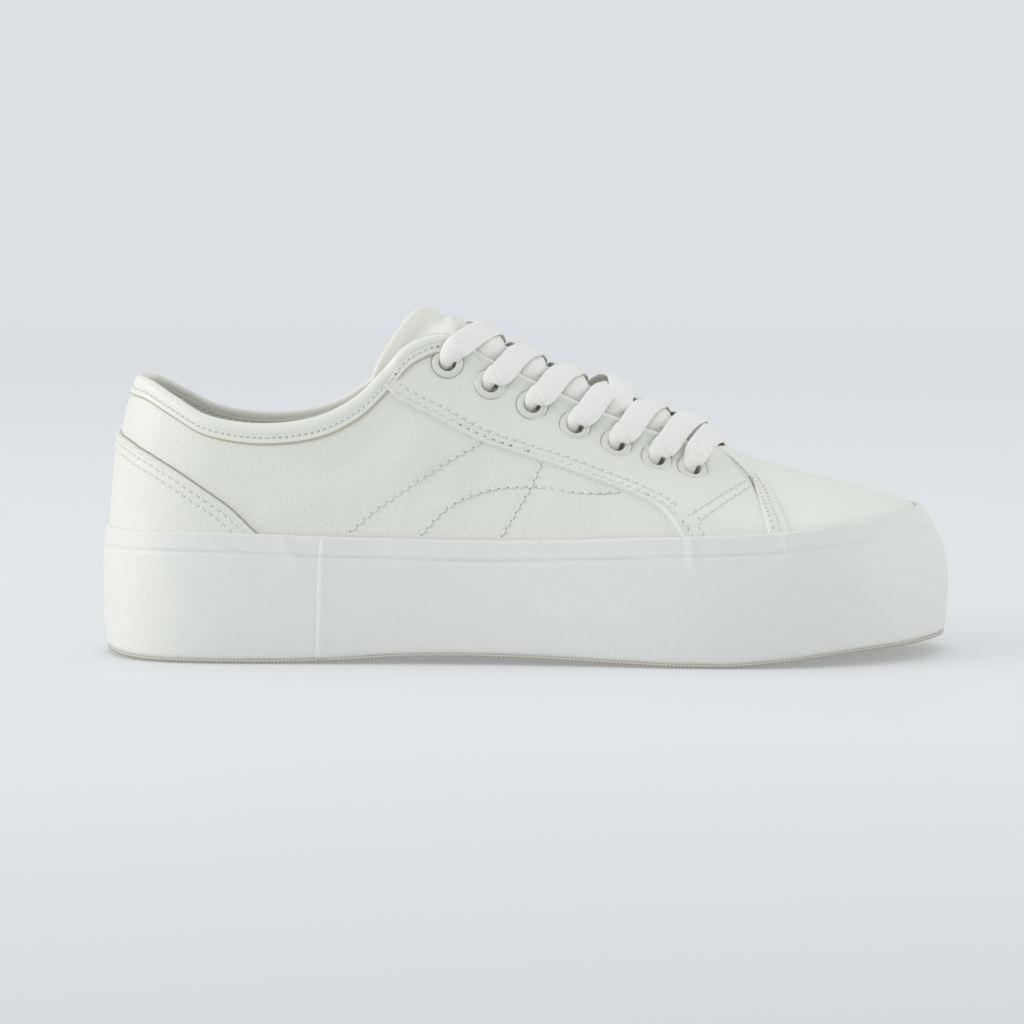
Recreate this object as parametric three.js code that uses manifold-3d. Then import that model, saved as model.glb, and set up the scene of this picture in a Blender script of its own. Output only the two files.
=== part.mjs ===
// Right platform sneaker: rubber platform with a foxing wrap, hollow leather upper, padded tongue,
// insole, heel counter, fourteen eyelets and a flat criss-cross lace.
// Millimetres. +X is the toe, -Y the lateral (outer) side, +Z up, and the shoe stands on z = 0.
import * as THREE from 'three';
import { mergeVertices } from 'three/addons/utils/BufferGeometryUtils.js';
import Module from 'manifold-3d';

// ---- Driving dimensions ----
const LENGTH = 282; // overall, heel to toe
const BALL_WIDTH = 104; // widest part of the sole
const INSTEP = 107; // top corner of the eyestay, above the floor
const DECK = 30; // top of the platform core under the heel
const DECK_FOLLOW = 0.8; // how far the deck follows the toe spring and the arch
const GAP = 0.3; // between pieces that meet
const TREAD = 1.2; // outsole edge that shows under the foxing
const OUTSOLE = 3.0; // outsole in the middle
const FOXING = 1.9; // rubber wrap round the platform
const UNDERCUT = 1.4; // foxing inset at the floor
const WALL = 2.2; // upper, with its lining
const INSOLE = 3.5;
const COUNTER = 1.2; // heel counter overlay
const TONGUE = 4.5; // padded tongue
const SEAM_AT = 0.257; // foxing joint, as a fraction of the length
const GROOVE_PITCH = 8;
const GROOVE_WIDTH = 2.5;
const GROOVE_DEPTH = 1.2;
const GROOVE_MARGIN = 8; // land left between a groove and the outsole's edge
const EYELET_OUTER = 10.4;
const EYELET_HOLE = 6.0;
const EYELET_BARREL = 7.0;
const EYELET_FLANGE = 0.7;
const HOLE_SIDES = 8;
const LACE_WIDTH = 8.5;
const LACE_THICK = 1.5;

// ---- Tables: a row for each section, from the heel's middle to the toe's middle ----
const table = (names, rows) => rows.map((row) => Object.fromEntries(names.map((n, i) => [n, row[i]])));

// Sole outline at its widest level: at is a fraction of the length, lat and med are fractions of half
// the ball width. top and bottom are the foxing's heights, over is its inset at the top, in mm.
const SOLE = table(['at', 'lat', 'med', 'top', 'bottom', 'over'], [
  [0.000, 0.000, 0.000, 42.5, 1.6, 1.3],
  [0.010, 0.279, 0.269, 42.6, 1.1, 1.3],
  [0.037, 0.510, 0.490, 42.8, 0.3, 1.3],
  [0.078, 0.654, 0.631, 43.0, 0.0, 1.3],
  [0.131, 0.723, 0.688, 43.0, 0.0, 1.3],
  [0.202, 0.746, 0.688, 42.2, 0.0, 1.4],
  [0.277, 0.754, 0.654, 41.5, 0.6, 1.5],
  [0.337, 0.762, 0.627, 41.1, 1.7, 1.5],
  [0.383, 0.773, 0.615, 40.8, 2.2, 1.5],
  [0.422, 0.787, 0.613, 40.6, 2.3, 1.6],
  [0.465, 0.806, 0.621, 40.5, 2.1, 1.7],
  [0.514, 0.838, 0.650, 40.7, 1.8, 1.8],
  [0.571, 0.888, 0.715, 41.3, 1.1, 2.0],
  [0.628, 0.942, 0.808, 42.0, 0.4, 2.2],
  [0.677, 0.981, 0.888, 42.5, 0.0, 2.5],
  [0.734, 1.000, 0.962, 43.0, 0.0, 3.0],
  [0.805, 0.977, 0.996, 44.0, 1.8, 4.0],
  [0.872, 0.856, 0.950, 45.8, 3.8, 5.3],
  [0.926, 0.673, 0.827, 47.3, 4.8, 6.8],
  [0.965, 0.452, 0.635, 48.2, 5.4, 8.0],
  [0.991, 0.173, 0.394, 48.5, 5.7, 8.8],
  [1.000, -0.115, 0.115, 48.5, 5.8, 9.0],
]);

// Edge of the upper's opening on the same sections: collar to row 9, eyestay corner at row 10, throat to
// the last. up is a fraction of the height from the floor to the instep. slope is the wall's angle there
// in degrees, and low and high say how far the section keeps its direction at the foxing and at the edge.
const EDGE = table(['at', 'lat', 'med', 'up', 'slope', 'low', 'high'], [
  [0.047, 0.000, 0.000, 0.863, 53, 0.39, 0.25],
  [0.051, 0.175, 0.167, 0.860, 54, 0.39, 0.25],
  [0.065, 0.315, 0.300, 0.849, 60, 0.38, 0.25],
  [0.093, 0.450, 0.423, 0.806, 70, 0.36, 0.27],
  [0.131, 0.560, 0.523, 0.752, 78, 0.35, 0.30],
  [0.190, 0.600, 0.560, 0.728, 80, 0.35, 0.30],
  [0.253, 0.606, 0.563, 0.746, 78, 0.35, 0.32],
  [0.300, 0.588, 0.550, 0.805, 75, 0.37, 0.36],
  [0.335, 0.563, 0.530, 0.893, 72, 0.40, 0.40],
  [0.363, 0.519, 0.495, 0.969, 70, 0.42, 0.42],
  [0.405, 0.465, 0.450, 0.999, 68, 0.44, 0.44],
  [0.447, 0.452, 0.440, 0.934, 67, 0.45, 0.44],
  [0.500, 0.452, 0.440, 0.864, 67, 0.42, 0.44],
  [0.553, 0.452, 0.440, 0.798, 70, 0.34, 0.46],
  [0.603, 0.440, 0.430, 0.743, 72, 0.27, 0.47],
  [0.650, 0.410, 0.400, 0.696, 73, 0.21, 0.46],
  [0.690, 0.355, 0.350, 0.663, 70, 0.17, 0.44],
  [0.713, 0.245, 0.260, 0.648, 57, 0.15, 0.38],
  [0.725, 0.145, 0.185, 0.644, 40, 0.14, 0.35],
  [0.7305, 0.067, 0.125, 0.642, 32, 0.12, 0.35],
  [0.733, 0.019, 0.077, 0.641, 27, 0.105, 0.35],
  [0.7335, -0.029, 0.029, 0.641, 26, 0.105, 0.35],
]);

// Eyelets of one side: station counts the sections above, below is the distance from the edge in mm.
const EYELETS = table(['station', 'below'], [
  [9.80, 10.5],
  [10.92, 11.5],
  [11.84, 11.5],
  [12.78, 11.5],
  [13.74, 11.5],
  [14.70, 11.5],
  [15.60, 11.5],
]);

// Heel counter: height of its upper edge at each station, the same on both sides.
const COUNTER_EDGE = table(['station', 'height'], [
  [0.0, 73.5],
  [1.0, 72.2],
  [2.0, 69.0],
  [3.0, 63.8],
  [4.0, 55.5],
  [4.5, 49.5],
  [4.8, 45.2],
]);

// Stretches of the outsole with cross grooves, in x.
const GROOVE_FIELDS = table(['from', 'to'], [
  [-112, -80],
  [38, 102],
]);

// Tongue above the eyestay: crest position, half width, and how far its sides drop and sweep back.
const TONGUE_TOP = table(['x', 'z', 'half', 'drop', 'back'], [
  [-27.0, 111.4, 21.5, 21, 14],
  [-31.0, 113.9, 21.0, 24, 17.5],
  [-34.2, 115.6, 20.5, 26, 19],
]);
const TONGUE_BACK = 0.65; // power by which the back grows with the fall: the top edge bows up

const LAST = SOLE.length - 1; // index of the toe's row
const ROUND = 2 * LAST; // sections once round the shoe
const STATIONS = 72; // stations that the round is cut into

// ---- Small vector helpers ----
const vec = (x, y, z) => new THREE.Vector3(x, y, z);
const up = vec(0, 0, 1);
const mix = (a, b, t) => a.clone().lerp(b, t);

// ---- Columns as smooth functions of the station, once round the shoe ----
// Stations 0 to LAST run along the lateral side, heel to toe, and LAST to ROUND back along the medial side.
function rowAt(tableRows, name, index) {
  const k = ((index % ROUND) + ROUND) % ROUND;
  const medial = k > LAST;
  const row = tableRows[medial ? ROUND - k : k];
  if (name === 'side') return medial ? row.med : -row.lat;
  return row[name];
}

function column(tableRows, name, station) {
  const k = Math.floor(station);
  const t = station - k;
  const [a, b, c, d] = [-1, 0, 1, 2].map((i) => rowAt(tableRows, name, k + i));
  const cubic = (2 * a - 5 * b + 4 * c - d) * t + (3 * b - a - 3 * c + d) * t * t;
  return b + 0.5 * t * (c - a + cubic);
}

const along = (fraction) => (fraction - 0.5) * LENGTH;
const across = (fraction) => (fraction * BALL_WIDTH) / 2;

// ---- The sole's own surfaces ----
function outline(station) {
  return vec(along(column(SOLE, 'at', station)), across(column(SOLE, 'side', station)), 0);
}

function inward(station) {
  const step = outline(station + 0.02).sub(outline(station - 0.02));
  return vec(-step.y, step.x, 0).normalize();
}

const bottomAt = (station) => Math.max(0, column(SOLE, 'bottom', station));
const topAt = (station) => column(SOLE, 'top', station);
const deckAt = (station) => DECK + DECK_FOLLOW * bottomAt(station);

// A point of the sidewall at a height, set in by a depth from its outer face.
const BELLY = 0.42; // widest level, as a fraction of the wall's height
const SHOULDER = 2; // power of the inset above it
function sidewall(station, z, depth) {
  const t = (z - bottomAt(station)) / (topAt(station) - bottomAt(station));
  const below = Math.max(0, (BELLY - t) / BELLY);
  const above = Math.max(0, (t - BELLY) / (1 - BELLY));
  const inset = UNDERCUT * below ** 2 + column(SOLE, 'over', station) * above ** SHOULDER;
  const p = outline(station).addScaledVector(inward(station), inset + depth);
  return p.setZ(z);
}

// ---- The upper's own surface ----
// v runs from 0 at the deck to TUCK just under the foxing's top, along the sidewall, then to 1 at the edge.
const TUCK = 0.12;
const HIDDEN = 1.5; // the section leaves the sidewall this far under the foxing's top
function edgePoint(station) {
  const x = along(column(EDGE, 'at', station));
  const y = across(column(EDGE, 'side', station));
  return vec(x, y, column(EDGE, 'up', station) * INSTEP);
}

function section(station) {
  const level = topAt(station) - HIDDEN;
  const foot = sidewall(station, level, FOXING + GAP);
  const rise = foot.clone().sub(sidewall(station, level - 2, FOXING + GAP)).normalize();
  const edge = edgePoint(station);
  const span = foot.distanceTo(edge);
  const angle = THREE.MathUtils.degToRad(column(EDGE, 'slope', station));
  const outward = vec(foot.x - edge.x, foot.y - edge.y, 0).normalize();
  const lean = outward.multiplyScalar(Math.cos(angle)).addScaledVector(up, -Math.sin(angle));
  const shoulder = foot.clone().addScaledVector(rise, span * column(EDGE, 'low', station));
  const brow = edge.clone().addScaledVector(lean, span * column(EDGE, 'high', station));
  return new THREE.CubicBezierCurve3(foot, shoulder, brow, edge);
}

// The stretch behind the foxing, set out from the surface by out.
function tucked(station, v, out) {
  const base = deckAt(station) + GAP;
  const z = base + (topAt(station) - HIDDEN - base) * (v / TUCK);
  return sidewall(station, z, FOXING + GAP - out);
}

function skin(station, v) {
  return v > TUCK ? section(station).getPoint((v - TUCK) / (1 - TUCK)) : tucked(station, v, 0);
}

function skinNormal(station, v) {
  const [lo, hi] = [Math.max(0, v - 0.01), Math.min(1, v + 0.01)];
  const ahead = skin(station + 0.05, v).sub(skin(station - 0.05, v));
  return ahead.cross(skin(station, hi).sub(skin(station, lo))).normalize();
}

// A point set out from the upper's surface, or in where out is negative.
function offSkin(station, v, out) {
  if (v <= TUCK) return tucked(station, v, out);
  return skin(station, v).addScaledVector(skinNormal(station, v), out);
}

// The v that lies a distance below the edge, measured along the section.
function below(station, distance) {
  const curve = section(station);
  return 1 - (1 - TUCK) * (1 - curve.getUtoTmapping(1 - distance / curve.getLength()));
}

// ---- Solids from point grids ----
function solid(points, faces) {
  const geometry = new THREE.BufferGeometry();
  const numbers = points.flatMap((p) => [p.x, p.y, p.z]);
  geometry.setAttribute('position', new THREE.Float32BufferAttribute(numbers, 3));
  let volume = 0;
  for (const [a, b, c] of faces) volume += points[a].dot(points[b].clone().cross(points[c]));
  geometry.setIndex(faces.flatMap((f) => (volume < 0 ? [f[0], f[2], f[1]] : f)));
  geometry.computeVertexNormals();
  return geometry;
}

// A sheet with a real thickness between two grids of points [row][place]; closed joins last row to first.
function thickSheet(outer, inner, closed) {
  const rows = outer.length;
  const places = outer[0].length;
  const id = (side, i, j) => (side * rows + (i % rows)) * places + j;
  const faces = [];
  const quad = (a, b, c, d) => faces.push([a, b, c], [a, c, d]);
  for (let i = 0; i < (closed ? rows : rows - 1); i++) {
    for (let j = 0; j < places - 1; j++) {
      quad(id(0, i, j), id(0, i + 1, j), id(0, i + 1, j + 1), id(0, i, j + 1));
      quad(id(1, i, j), id(1, i, j + 1), id(1, i + 1, j + 1), id(1, i + 1, j));
    }
    quad(id(0, i, 0), id(1, i, 0), id(1, i + 1, 0), id(0, i + 1, 0));
    quad(id(0, i, places - 1), id(0, i + 1, places - 1), id(1, i + 1, places - 1), id(1, i, places - 1));
  }
  for (let j = 0; j < places - 1 && !closed; j++) {
    const end = rows - 1;
    quad(id(0, 0, j), id(0, 0, j + 1), id(1, 0, j + 1), id(1, 0, j));
    quad(id(0, end, j), id(1, end, j), id(1, end, j + 1), id(0, end, j + 1));
  }
  return solid([...outer.flat(), ...inner.flat()], faces);
}

// A solid from rings stacked bottom to top, each once round the shoe from the heel's middle.
function stack(rings) {
  const n = rings[0].length;
  const faces = [];
  const quad = (a, b, c, d) => faces.push([a, b, c], [a, c, d]);
  for (let r = 0; r < rings.length - 1; r++) {
    for (let k = 0; k < n; k++) {
      const next = (k + 1) % n;
      quad(r * n + k, r * n + next, (r + 1) * n + next, (r + 1) * n + k);
    }
  }
  const cap = (start, flip) => {
    for (let k = 0; k < n / 2; k++) {
      const [a, b, c, d] = [k, k + 1, n - k - 1, (n - k) % n].map((i) => start + i);
      const pair = [[a, d, b], [b, d, c]].filter((f) => new Set(f).size === 3);
      faces.push(...(flip ? pair.map(([p, q, s]) => [p, s, q]) : pair));
    }
  };
  cap(0, false);
  cap((rings.length - 1) * n, true);
  return solid(rings.flat(), faces);
}

const round = Array.from({ length: STATIONS }, (_, k) => (k * ROUND) / STATIONS);
const ring = (level, depth) => round.map((s) => sidewall(s, level(s), depth));

// ---- Manifold: holes, grooves and joined laces ----
const wasm = await Module();
wasm.setup();

function toManifold(geometry) {
  const bare = geometry.clone();
  bare.deleteAttribute('normal');
  bare.deleteAttribute('uv');
  const merged = mergeVertices(bare, 1e-4);
  const vertProperties = new Float32Array(merged.attributes.position.array);
  const triVerts = new Uint32Array(merged.index.array);
  return new wasm.Manifold(new wasm.Mesh({ numProp: 3, vertProperties, triVerts }));
}

function fromManifold(form) {
  const mesh = form.getMesh();
  const geometry = new THREE.BufferGeometry();
  geometry.setAttribute('position', new THREE.Float32BufferAttribute(mesh.vertProperties, 3));
  geometry.setIndex([...mesh.triVerts]);
  geometry.computeVertexNormals();
  return geometry;
}

// ---- Materials ----
const finish = (name, color, roughness) =>
  new THREE.MeshStandardMaterial({ name, color, roughness, metalness: 0 });
const leather = finish('white_leather', 0xe4e5df, 0.55);
const rubber = finish('white_rubber', 0xe8e6e0, 0.6);
const tread = finish('white_tread', 0xdedcd6, 0.7);
const foam = finish('white_foam', 0xe2e0da, 0.8);
const lining = finish('cream_lining', 0xd9dacb, 0.9);
const cotton = finish('white_cotton', 0xe6e6e3, 0.9);
const enamel = finish('enamelled_metal', 0xdcd9d8, 0.4);

const sneaker = new THREE.Group();
function add(name, geometry, material) {
  const mesh = new THREE.Mesh(geometry, material);
  mesh.name = name;
  sneaker.add(mesh);
  return mesh;
}

// ---- Sole ----
function outsoleBlank() {
  const core = FOXING + GAP;
  return stack([
    ring(bottomAt, 0),
    ring((s) => bottomAt(s) + TREAD, 0),
    ring((s) => bottomAt(s) + TREAD, core),
    ring((s) => bottomAt(s) + OUTSOLE, core),
  ]);
}

// The lateral station whose outline lies at a fraction of the length.
function stationAt(fraction) {
  let [heel, toe] = [0, LAST];
  for (let i = 0; i < 40; i++) {
    const middle = (heel + toe) / 2;
    if (column(SOLE, 'at', middle) < fraction) heel = middle;
    else toe = middle;
  }
  return heel;
}

// Cross grooves under the heel and the forefoot, which stop short of the edge.
function outsole() {
  let blank = toManifold(outsoleBlank());
  for (const field of GROOVE_FIELDS) {
    for (let x = field.from; x <= field.to; x += GROOVE_PITCH) {
      const station = stationAt(x / LENGTH + 0.5);
      const [low, high] = [outline(station).y + GROOVE_MARGIN, outline(ROUND - station).y - GROOVE_MARGIN];
      const cut = new THREE.BoxGeometry(GROOVE_WIDTH, high - low, 2 * GROOVE_DEPTH);
      blank = blank.subtract(toManifold(cut.translate(x, (low + high) / 2, bottomAt(station))));
    }
  }
  return fromManifold(blank);
}

function midsole() {
  const levels = [0, 0.4, 1];
  const floor = (s) => bottomAt(s) + OUTSOLE + GAP;
  return stack(levels.map((t) => ring((s) => floor(s) + (deckAt(s) - floor(s)) * t, FOXING + GAP)));
}

function insole() {
  const depth = FOXING + GAP + WALL + GAP;
  const levels = [GAP, GAP + INSOLE * 0.5, GAP + INSOLE];
  return stack(levels.map((rise) => ring((s) => deckAt(s) + rise, depth)));
}

// The foxing between two stations, from the outsole's edge to the top line.
function foxing(from, to) {
  const inside = round.concat(round.map((s) => s + ROUND)).filter((s) => s > from + 0.1 && s < to - 0.1);
  const stations = [from, ...inside, to];
  const levels = [0, 0.3, 0.6, 0.83, 1];
  const height = (s, t) => {
    const low = bottomAt(s) + TREAD + GAP;
    return low + (topAt(s) - low) * t;
  };
  const face = (depth) => stations.map((s) => levels.map((t) => sidewall(s, height(s, t), depth)));
  return thickSheet(face(0), face(FOXING), false);
}

// ---- Upper ----
function upperShell() {
  const places = [0, TUCK / 3, TUCK, 0.22, 0.36, 0.5, 0.64, 0.78, 0.9, 1];
  const face = (out) => round.map((s) => places.map((v) => offSkin(s, v, out)));
  return thickSheet(face(0), face(-WALL), true);
}

// Both sides' stations for a row of the lacing.
const sides = { lateral: (station) => station, medial: (station) => ROUND - station };

function eyeletFrame(side, row) {
  const station = sides[side](row.station);
  const v = below(station, row.below);
  const normal = skinNormal(station, v);
  const turn = new THREE.Quaternion().setFromUnitVectors(up, normal);
  return { station, v, centre: skin(station, v), normal, turn };
}

function upper() {
  let shell = toManifold(upperShell());
  for (const side of Object.keys(sides)) {
    for (const row of EYELETS) {
      const at = eyeletFrame(side, row);
      const radius = EYELET_BARREL / 2 + GAP;
      const drill = new THREE.CylinderGeometry(radius, radius, 12, HOLE_SIDES);
      drill.rotateX(Math.PI / 2).applyQuaternion(at.turn).translate(at.centre.x, at.centre.y, at.centre.z);
      shell = shell.subtract(toManifold(drill));
    }
  }
  return fromManifold(shell);
}

// ---- Heel counter ----
const between = (rows, name, x) => {
  const next = Math.max(1, rows.findIndex((row) => row.station >= x));
  const [a, b] = [rows[next - 1], rows[next]];
  return a[name] + ((b[name] - a[name]) * (x - a.station)) / (b.station - a.station);
};

function placeAtHeight(station, height) {
  let [low, high] = [TUCK, 1];
  for (let i = 0; i < 30; i++) {
    const middle = (low + high) / 2;
    if (skin(station, middle).z < height) low = middle;
    else high = middle;
  }
  return low;
}

// An overlay cut between two larger forms of the upper's surface.
function heelCounter() {
  const end = COUNTER_EDGE.at(-1).station;
  const turned = round.map((s) => (s > LAST ? s - ROUND : s)).sort((a, b) => a - b);
  const stations = [-end, ...turned.filter((s) => Math.abs(s) < end - 0.1), end];
  const places = [0, 0.2, 0.4, 0.6, 0.8, 1];
  const face = (out) => stations.map((s) => {
    const low = placeAtHeight(s, topAt(s) + GAP + 0.1);
    const high = placeAtHeight(s, between(COUNTER_EDGE, 'height', Math.abs(s)));
    return places.map((t) => offSkin(s, low + (high - low) * t, out));
  });
  return thickSheet(face(GAP + COUNTER), face(GAP), false);
}

// ---- Eyelets ----
// A flanged ring with its barrel through the eyestay, turned about +Z.
const FLANGE_LIFT = 0.8; // flange above the leather at the hole's middle
function eyelet() {
  const [hole, barrel, rim] = [EYELET_HOLE / 2, EYELET_BARREL / 2, EYELET_OUTER / 2];
  const crown = FLANGE_LIFT + EYELET_FLANGE;
  const profile = [
    [hole, -WALL - 0.3],
    [barrel, -WALL - 0.3],
    [barrel, FLANGE_LIFT],
    [rim, FLANGE_LIFT],
    [rim - 0.9, crown],
    [hole, crown - 0.2],
    [hole, -WALL - 0.3],
  ];
  const ringForm = new THREE.LatheGeometry(profile.map(([r, h]) => new THREE.Vector2(r, h)), HOLE_SIDES);
  ringForm.deleteAttribute('normal');
  ringForm.deleteAttribute('uv');
  const joined = mergeVertices(ringForm.rotateX(Math.PI / 2), 1e-4);
  joined.computeVertexNormals();
  return joined;
}

// ---- Tongue ----
const TONGUE_GAP = 0.9; // under the eyestay
const ARCH = 9.8; // how strongly the tongue arches between the edges
const ARCH_SPAN = 0.4; // its greatest share of the span, which narrows at the throat's front
const ARCH_STEPS = [0.12, 0.3, 0.5, 0.7, 0.88];
const LEG = [9, 4.5, 0.6]; // distances under the eyestay's edge where the tongue's sides run

function tongueSection(station) {
  const leg = (s) => LEG.map((d) => offSkin(s, below(s, d * legScale(station)), -WALL - TONGUE_GAP));
  const left = leg(station);
  const right = leg(ROUND - station).reverse();
  const reach = Math.min(ARCH, ARCH_SPAN * left[2].distanceTo(right[0]));
  const lift = (a, b) => a.clone().sub(b).setX(0).normalize().multiplyScalar(reach).add(a);
  const [near, far] = [lift(left[2], left[1]), lift(right[0], right[1])];
  const arch = new THREE.CubicBezierCurve3(left[2], near, far, right[0]);
  return { left, right, arch };
}

function tongueRow(station) {
  const { left, right, arch } = tongueSection(station);
  return [...left, ...ARCH_STEPS.map((t) => arch.getPoint(t)), ...right];
}

// A point of the tongue's arch at a station, t of the way from lateral to medial, and its normal there.
function tongueArch(station, t) {
  const point = (s) => tongueSection(s).arch.getPoint(t);
  const back = point(station - 0.2).sub(point(station + 0.2));
  const normal = tongueSection(station).arch.getTangent(t).cross(back).normalize();
  return { at: point(station), normal };
}

const legScale = (station) => (station > 15 ? 1 - 0.15 * (station - 15) : 1);

function tongueTopRow(row) {
  const count = 2 * LEG.length + ARCH_STEPS.length;
  return Array.from({ length: count }, (_, i) => {
    const turn = (i / (count - 1) - 0.5) * Math.PI;
    const fall = 1 - Math.cos(turn);
    const back = row.back * fall ** TONGUE_BACK;
    return vec(row.x - back, row.half * Math.sin(turn), row.z - row.drop * fall);
  });
}

function tongue() {
  const stations = [19.6, 18.4, 17.2, 16, 15, 14, 13, 12, 11, 10.3];
  const rows = [...stations.map(tongueRow), ...TONGUE_TOP.map(tongueTopRow)];
  const inner = rows.map((row, i) => {
    const [before, after] = [rows[Math.max(0, i - 1)], rows[Math.min(rows.length - 1, i + 1)]];
    return row.map((p, j) => {
      const [left, right] = [row[Math.max(0, j - 1)], row[Math.min(row.length - 1, j + 1)]];
      const normal = after[j].clone().sub(before[j]).cross(right.clone().sub(left)).normalize();
      const middle = Math.sin((Math.PI * j) / (row.length - 1));
      const thick = 1.8 + (TONGUE - 1.8) * middle * Math.min(1, i / 4);
      return p.clone().addScaledVector(normal, thick);
    });
  });
  return thickSheet(rows, inner, false);
}

// ---- Lace ----
// Each strand runs from an eyelet over the edge, across the tongue and down to one on the other side.
const LACE_CLEAR = 0.35;
const LACE_LIFT = 0.9; // one strand of a crossing rides this much higher on the other
const LACE_PINCH = 0.5; // width at the hole, as a fraction of the full width

function laceKnots(from, to, lift) {
  const rest = LACE_THICK / 2 + LACE_CLEAR;
  const stationPart = (part) => from.row.station + (to.row.station - from.row.station) * part;
  const overHole = ({ side, row }) => {
    const station = sides[side](row.station);
    const v = below(station, row.below * 0.85);
    const out = rest + FLANGE_LIFT + EYELET_FLANGE + 0.5;
    return { at: offSkin(station, v, out), normal: skinNormal(station, v) };
  };
  const overEdge = ({ side }, part) => {
    const station = sides[side](stationPart(part));
    const rise = section(station).getTangent(1).multiplyScalar(3.0);
    return { at: offSkin(station, 1, rest + 1.0).add(rise), normal: skinNormal(station, 1) };
  };
  const overTongue = (part) => {
    const spot = tongueArch(stationPart(part), from.side === 'lateral' ? part : 1 - part);
    return { at: spot.at.addScaledVector(spot.normal, rest + 0.5 + lift), normal: spot.normal };
  };
  const middle = [0.3, 0.5, 0.7].map(overTongue);
  return [overHole(from), overEdge(from, 0.2), ...middle, overEdge(to, 0.8), overHole(to)];
}

function strand(from, to, lift) {
  const knots = laceKnots(from, to, lift);
  const cuts = knots.map(({ at, normal }, i) => {
    const tangent = knots[Math.min(i + 1, knots.length - 1)].at.clone().sub(knots[Math.max(i - 1, 0)].at);
    const sideways = tangent.cross(normal).normalize();
    const width = i % (knots.length - 1) === 0 ? LACE_WIDTH * LACE_PINCH : LACE_WIDTH;
    const corner = (a, b) => at.clone()
      .addScaledVector(sideways, (a * width) / 2)
      .addScaledVector(normal, (b * LACE_THICK) / 2);
    return [[corner(-1, 1), corner(1, 1)], [corner(-1, -1), corner(1, -1)]];
  });
  return thickSheet(cuts.map((c) => c[0]), cuts.map((c) => c[1]), false);
}

function lace() {
  const ends = (i) => ({
    left: { side: 'lateral', row: EYELETS[i] },
    right: { side: 'medial', row: EYELETS[i] },
  });
  const last = EYELETS.length - 1;
  let net = toManifold(strand(ends(last).left, ends(last).right, 0));
  for (let i = 0; i < last; i++) {
    const [near, far] = [ends(i), ends(i + 1)];
    net = net.add(toManifold(strand(near.left, far.right, 0)));
    net = net.add(toManifold(strand(near.right, far.left, LACE_LIFT)));
  }
  return fromManifold(net.simplify(0.1));
}

// ---- The shoe ----
add('outsole', outsole(), tread);
add('midsole', midsole(), foam);
const seam = stationAt(SEAM_AT);
const slit = 0.008;
add('foxing_front', foxing(seam + slit, ROUND - seam - slit), rubber);
add('foxing_heel', foxing(ROUND - seam + slit, ROUND + seam - slit), rubber);
add('insole', insole(), lining);
add('upper', upper(), leather);
add('heel_counter', heelCounter(), leather);
add('tongue', tongue(), leather);
for (const side of Object.keys(sides)) {
  EYELETS.forEach((row, i) => {
    const { centre, turn } = eyeletFrame(side, row);
    const mesh = add(`eyelet_${side}_${i + 1}`, eyelet(), enamel);
    mesh.position.copy(centre);
    mesh.quaternion.copy(turn);
  });
}
add('lace', lace(), cotton);

export default sneaker;
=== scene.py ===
"""White platform sneaker: its looks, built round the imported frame.

Sizes are in millimetres up to the moment a mesh is made. +X is the toe, -Y the lateral (outer)
side and +Z up, as in the frame. Stations count sections once round the shoe: 0 is the heel's
middle, LAST the toe's middle, and the medial side runs from LAST back to ROUND.
"""
import math
import bpy
import numpy as np
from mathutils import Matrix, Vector
from mathutils.kdtree import KDTree


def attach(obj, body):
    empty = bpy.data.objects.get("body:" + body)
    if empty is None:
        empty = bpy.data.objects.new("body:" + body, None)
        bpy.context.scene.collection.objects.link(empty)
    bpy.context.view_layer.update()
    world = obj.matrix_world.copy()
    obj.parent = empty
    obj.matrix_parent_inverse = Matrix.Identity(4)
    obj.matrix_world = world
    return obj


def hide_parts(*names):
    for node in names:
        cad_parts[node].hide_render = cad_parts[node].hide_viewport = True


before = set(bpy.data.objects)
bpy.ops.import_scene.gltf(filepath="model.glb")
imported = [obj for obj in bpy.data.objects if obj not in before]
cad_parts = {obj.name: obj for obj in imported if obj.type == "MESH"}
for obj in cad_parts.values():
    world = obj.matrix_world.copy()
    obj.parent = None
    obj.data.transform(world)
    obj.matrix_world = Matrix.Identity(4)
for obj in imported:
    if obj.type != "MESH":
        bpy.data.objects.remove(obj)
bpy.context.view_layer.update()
MM = 0.001

# ---- Driving dimensions, as in the CAD part ----
LENGTH = 282.0
BALL_WIDTH = 104.0
INSTEP = 107.0
DECK = 30.0
DECK_FOLLOW = 0.8
GAP = 0.3
TREAD = 1.2
FOXING = 1.9
UNDERCUT = 1.4
SHOULDER = 2
WALL = 2.2
INSOLE = 3.5
TONGUE_GAP = 0.9
ARCH = 9.8
ARCH_SPAN = 0.4
BELLY = 0.42
TUCK = 0.12
HIDDEN = 1.5
SEAM_X = -68.5

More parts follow.
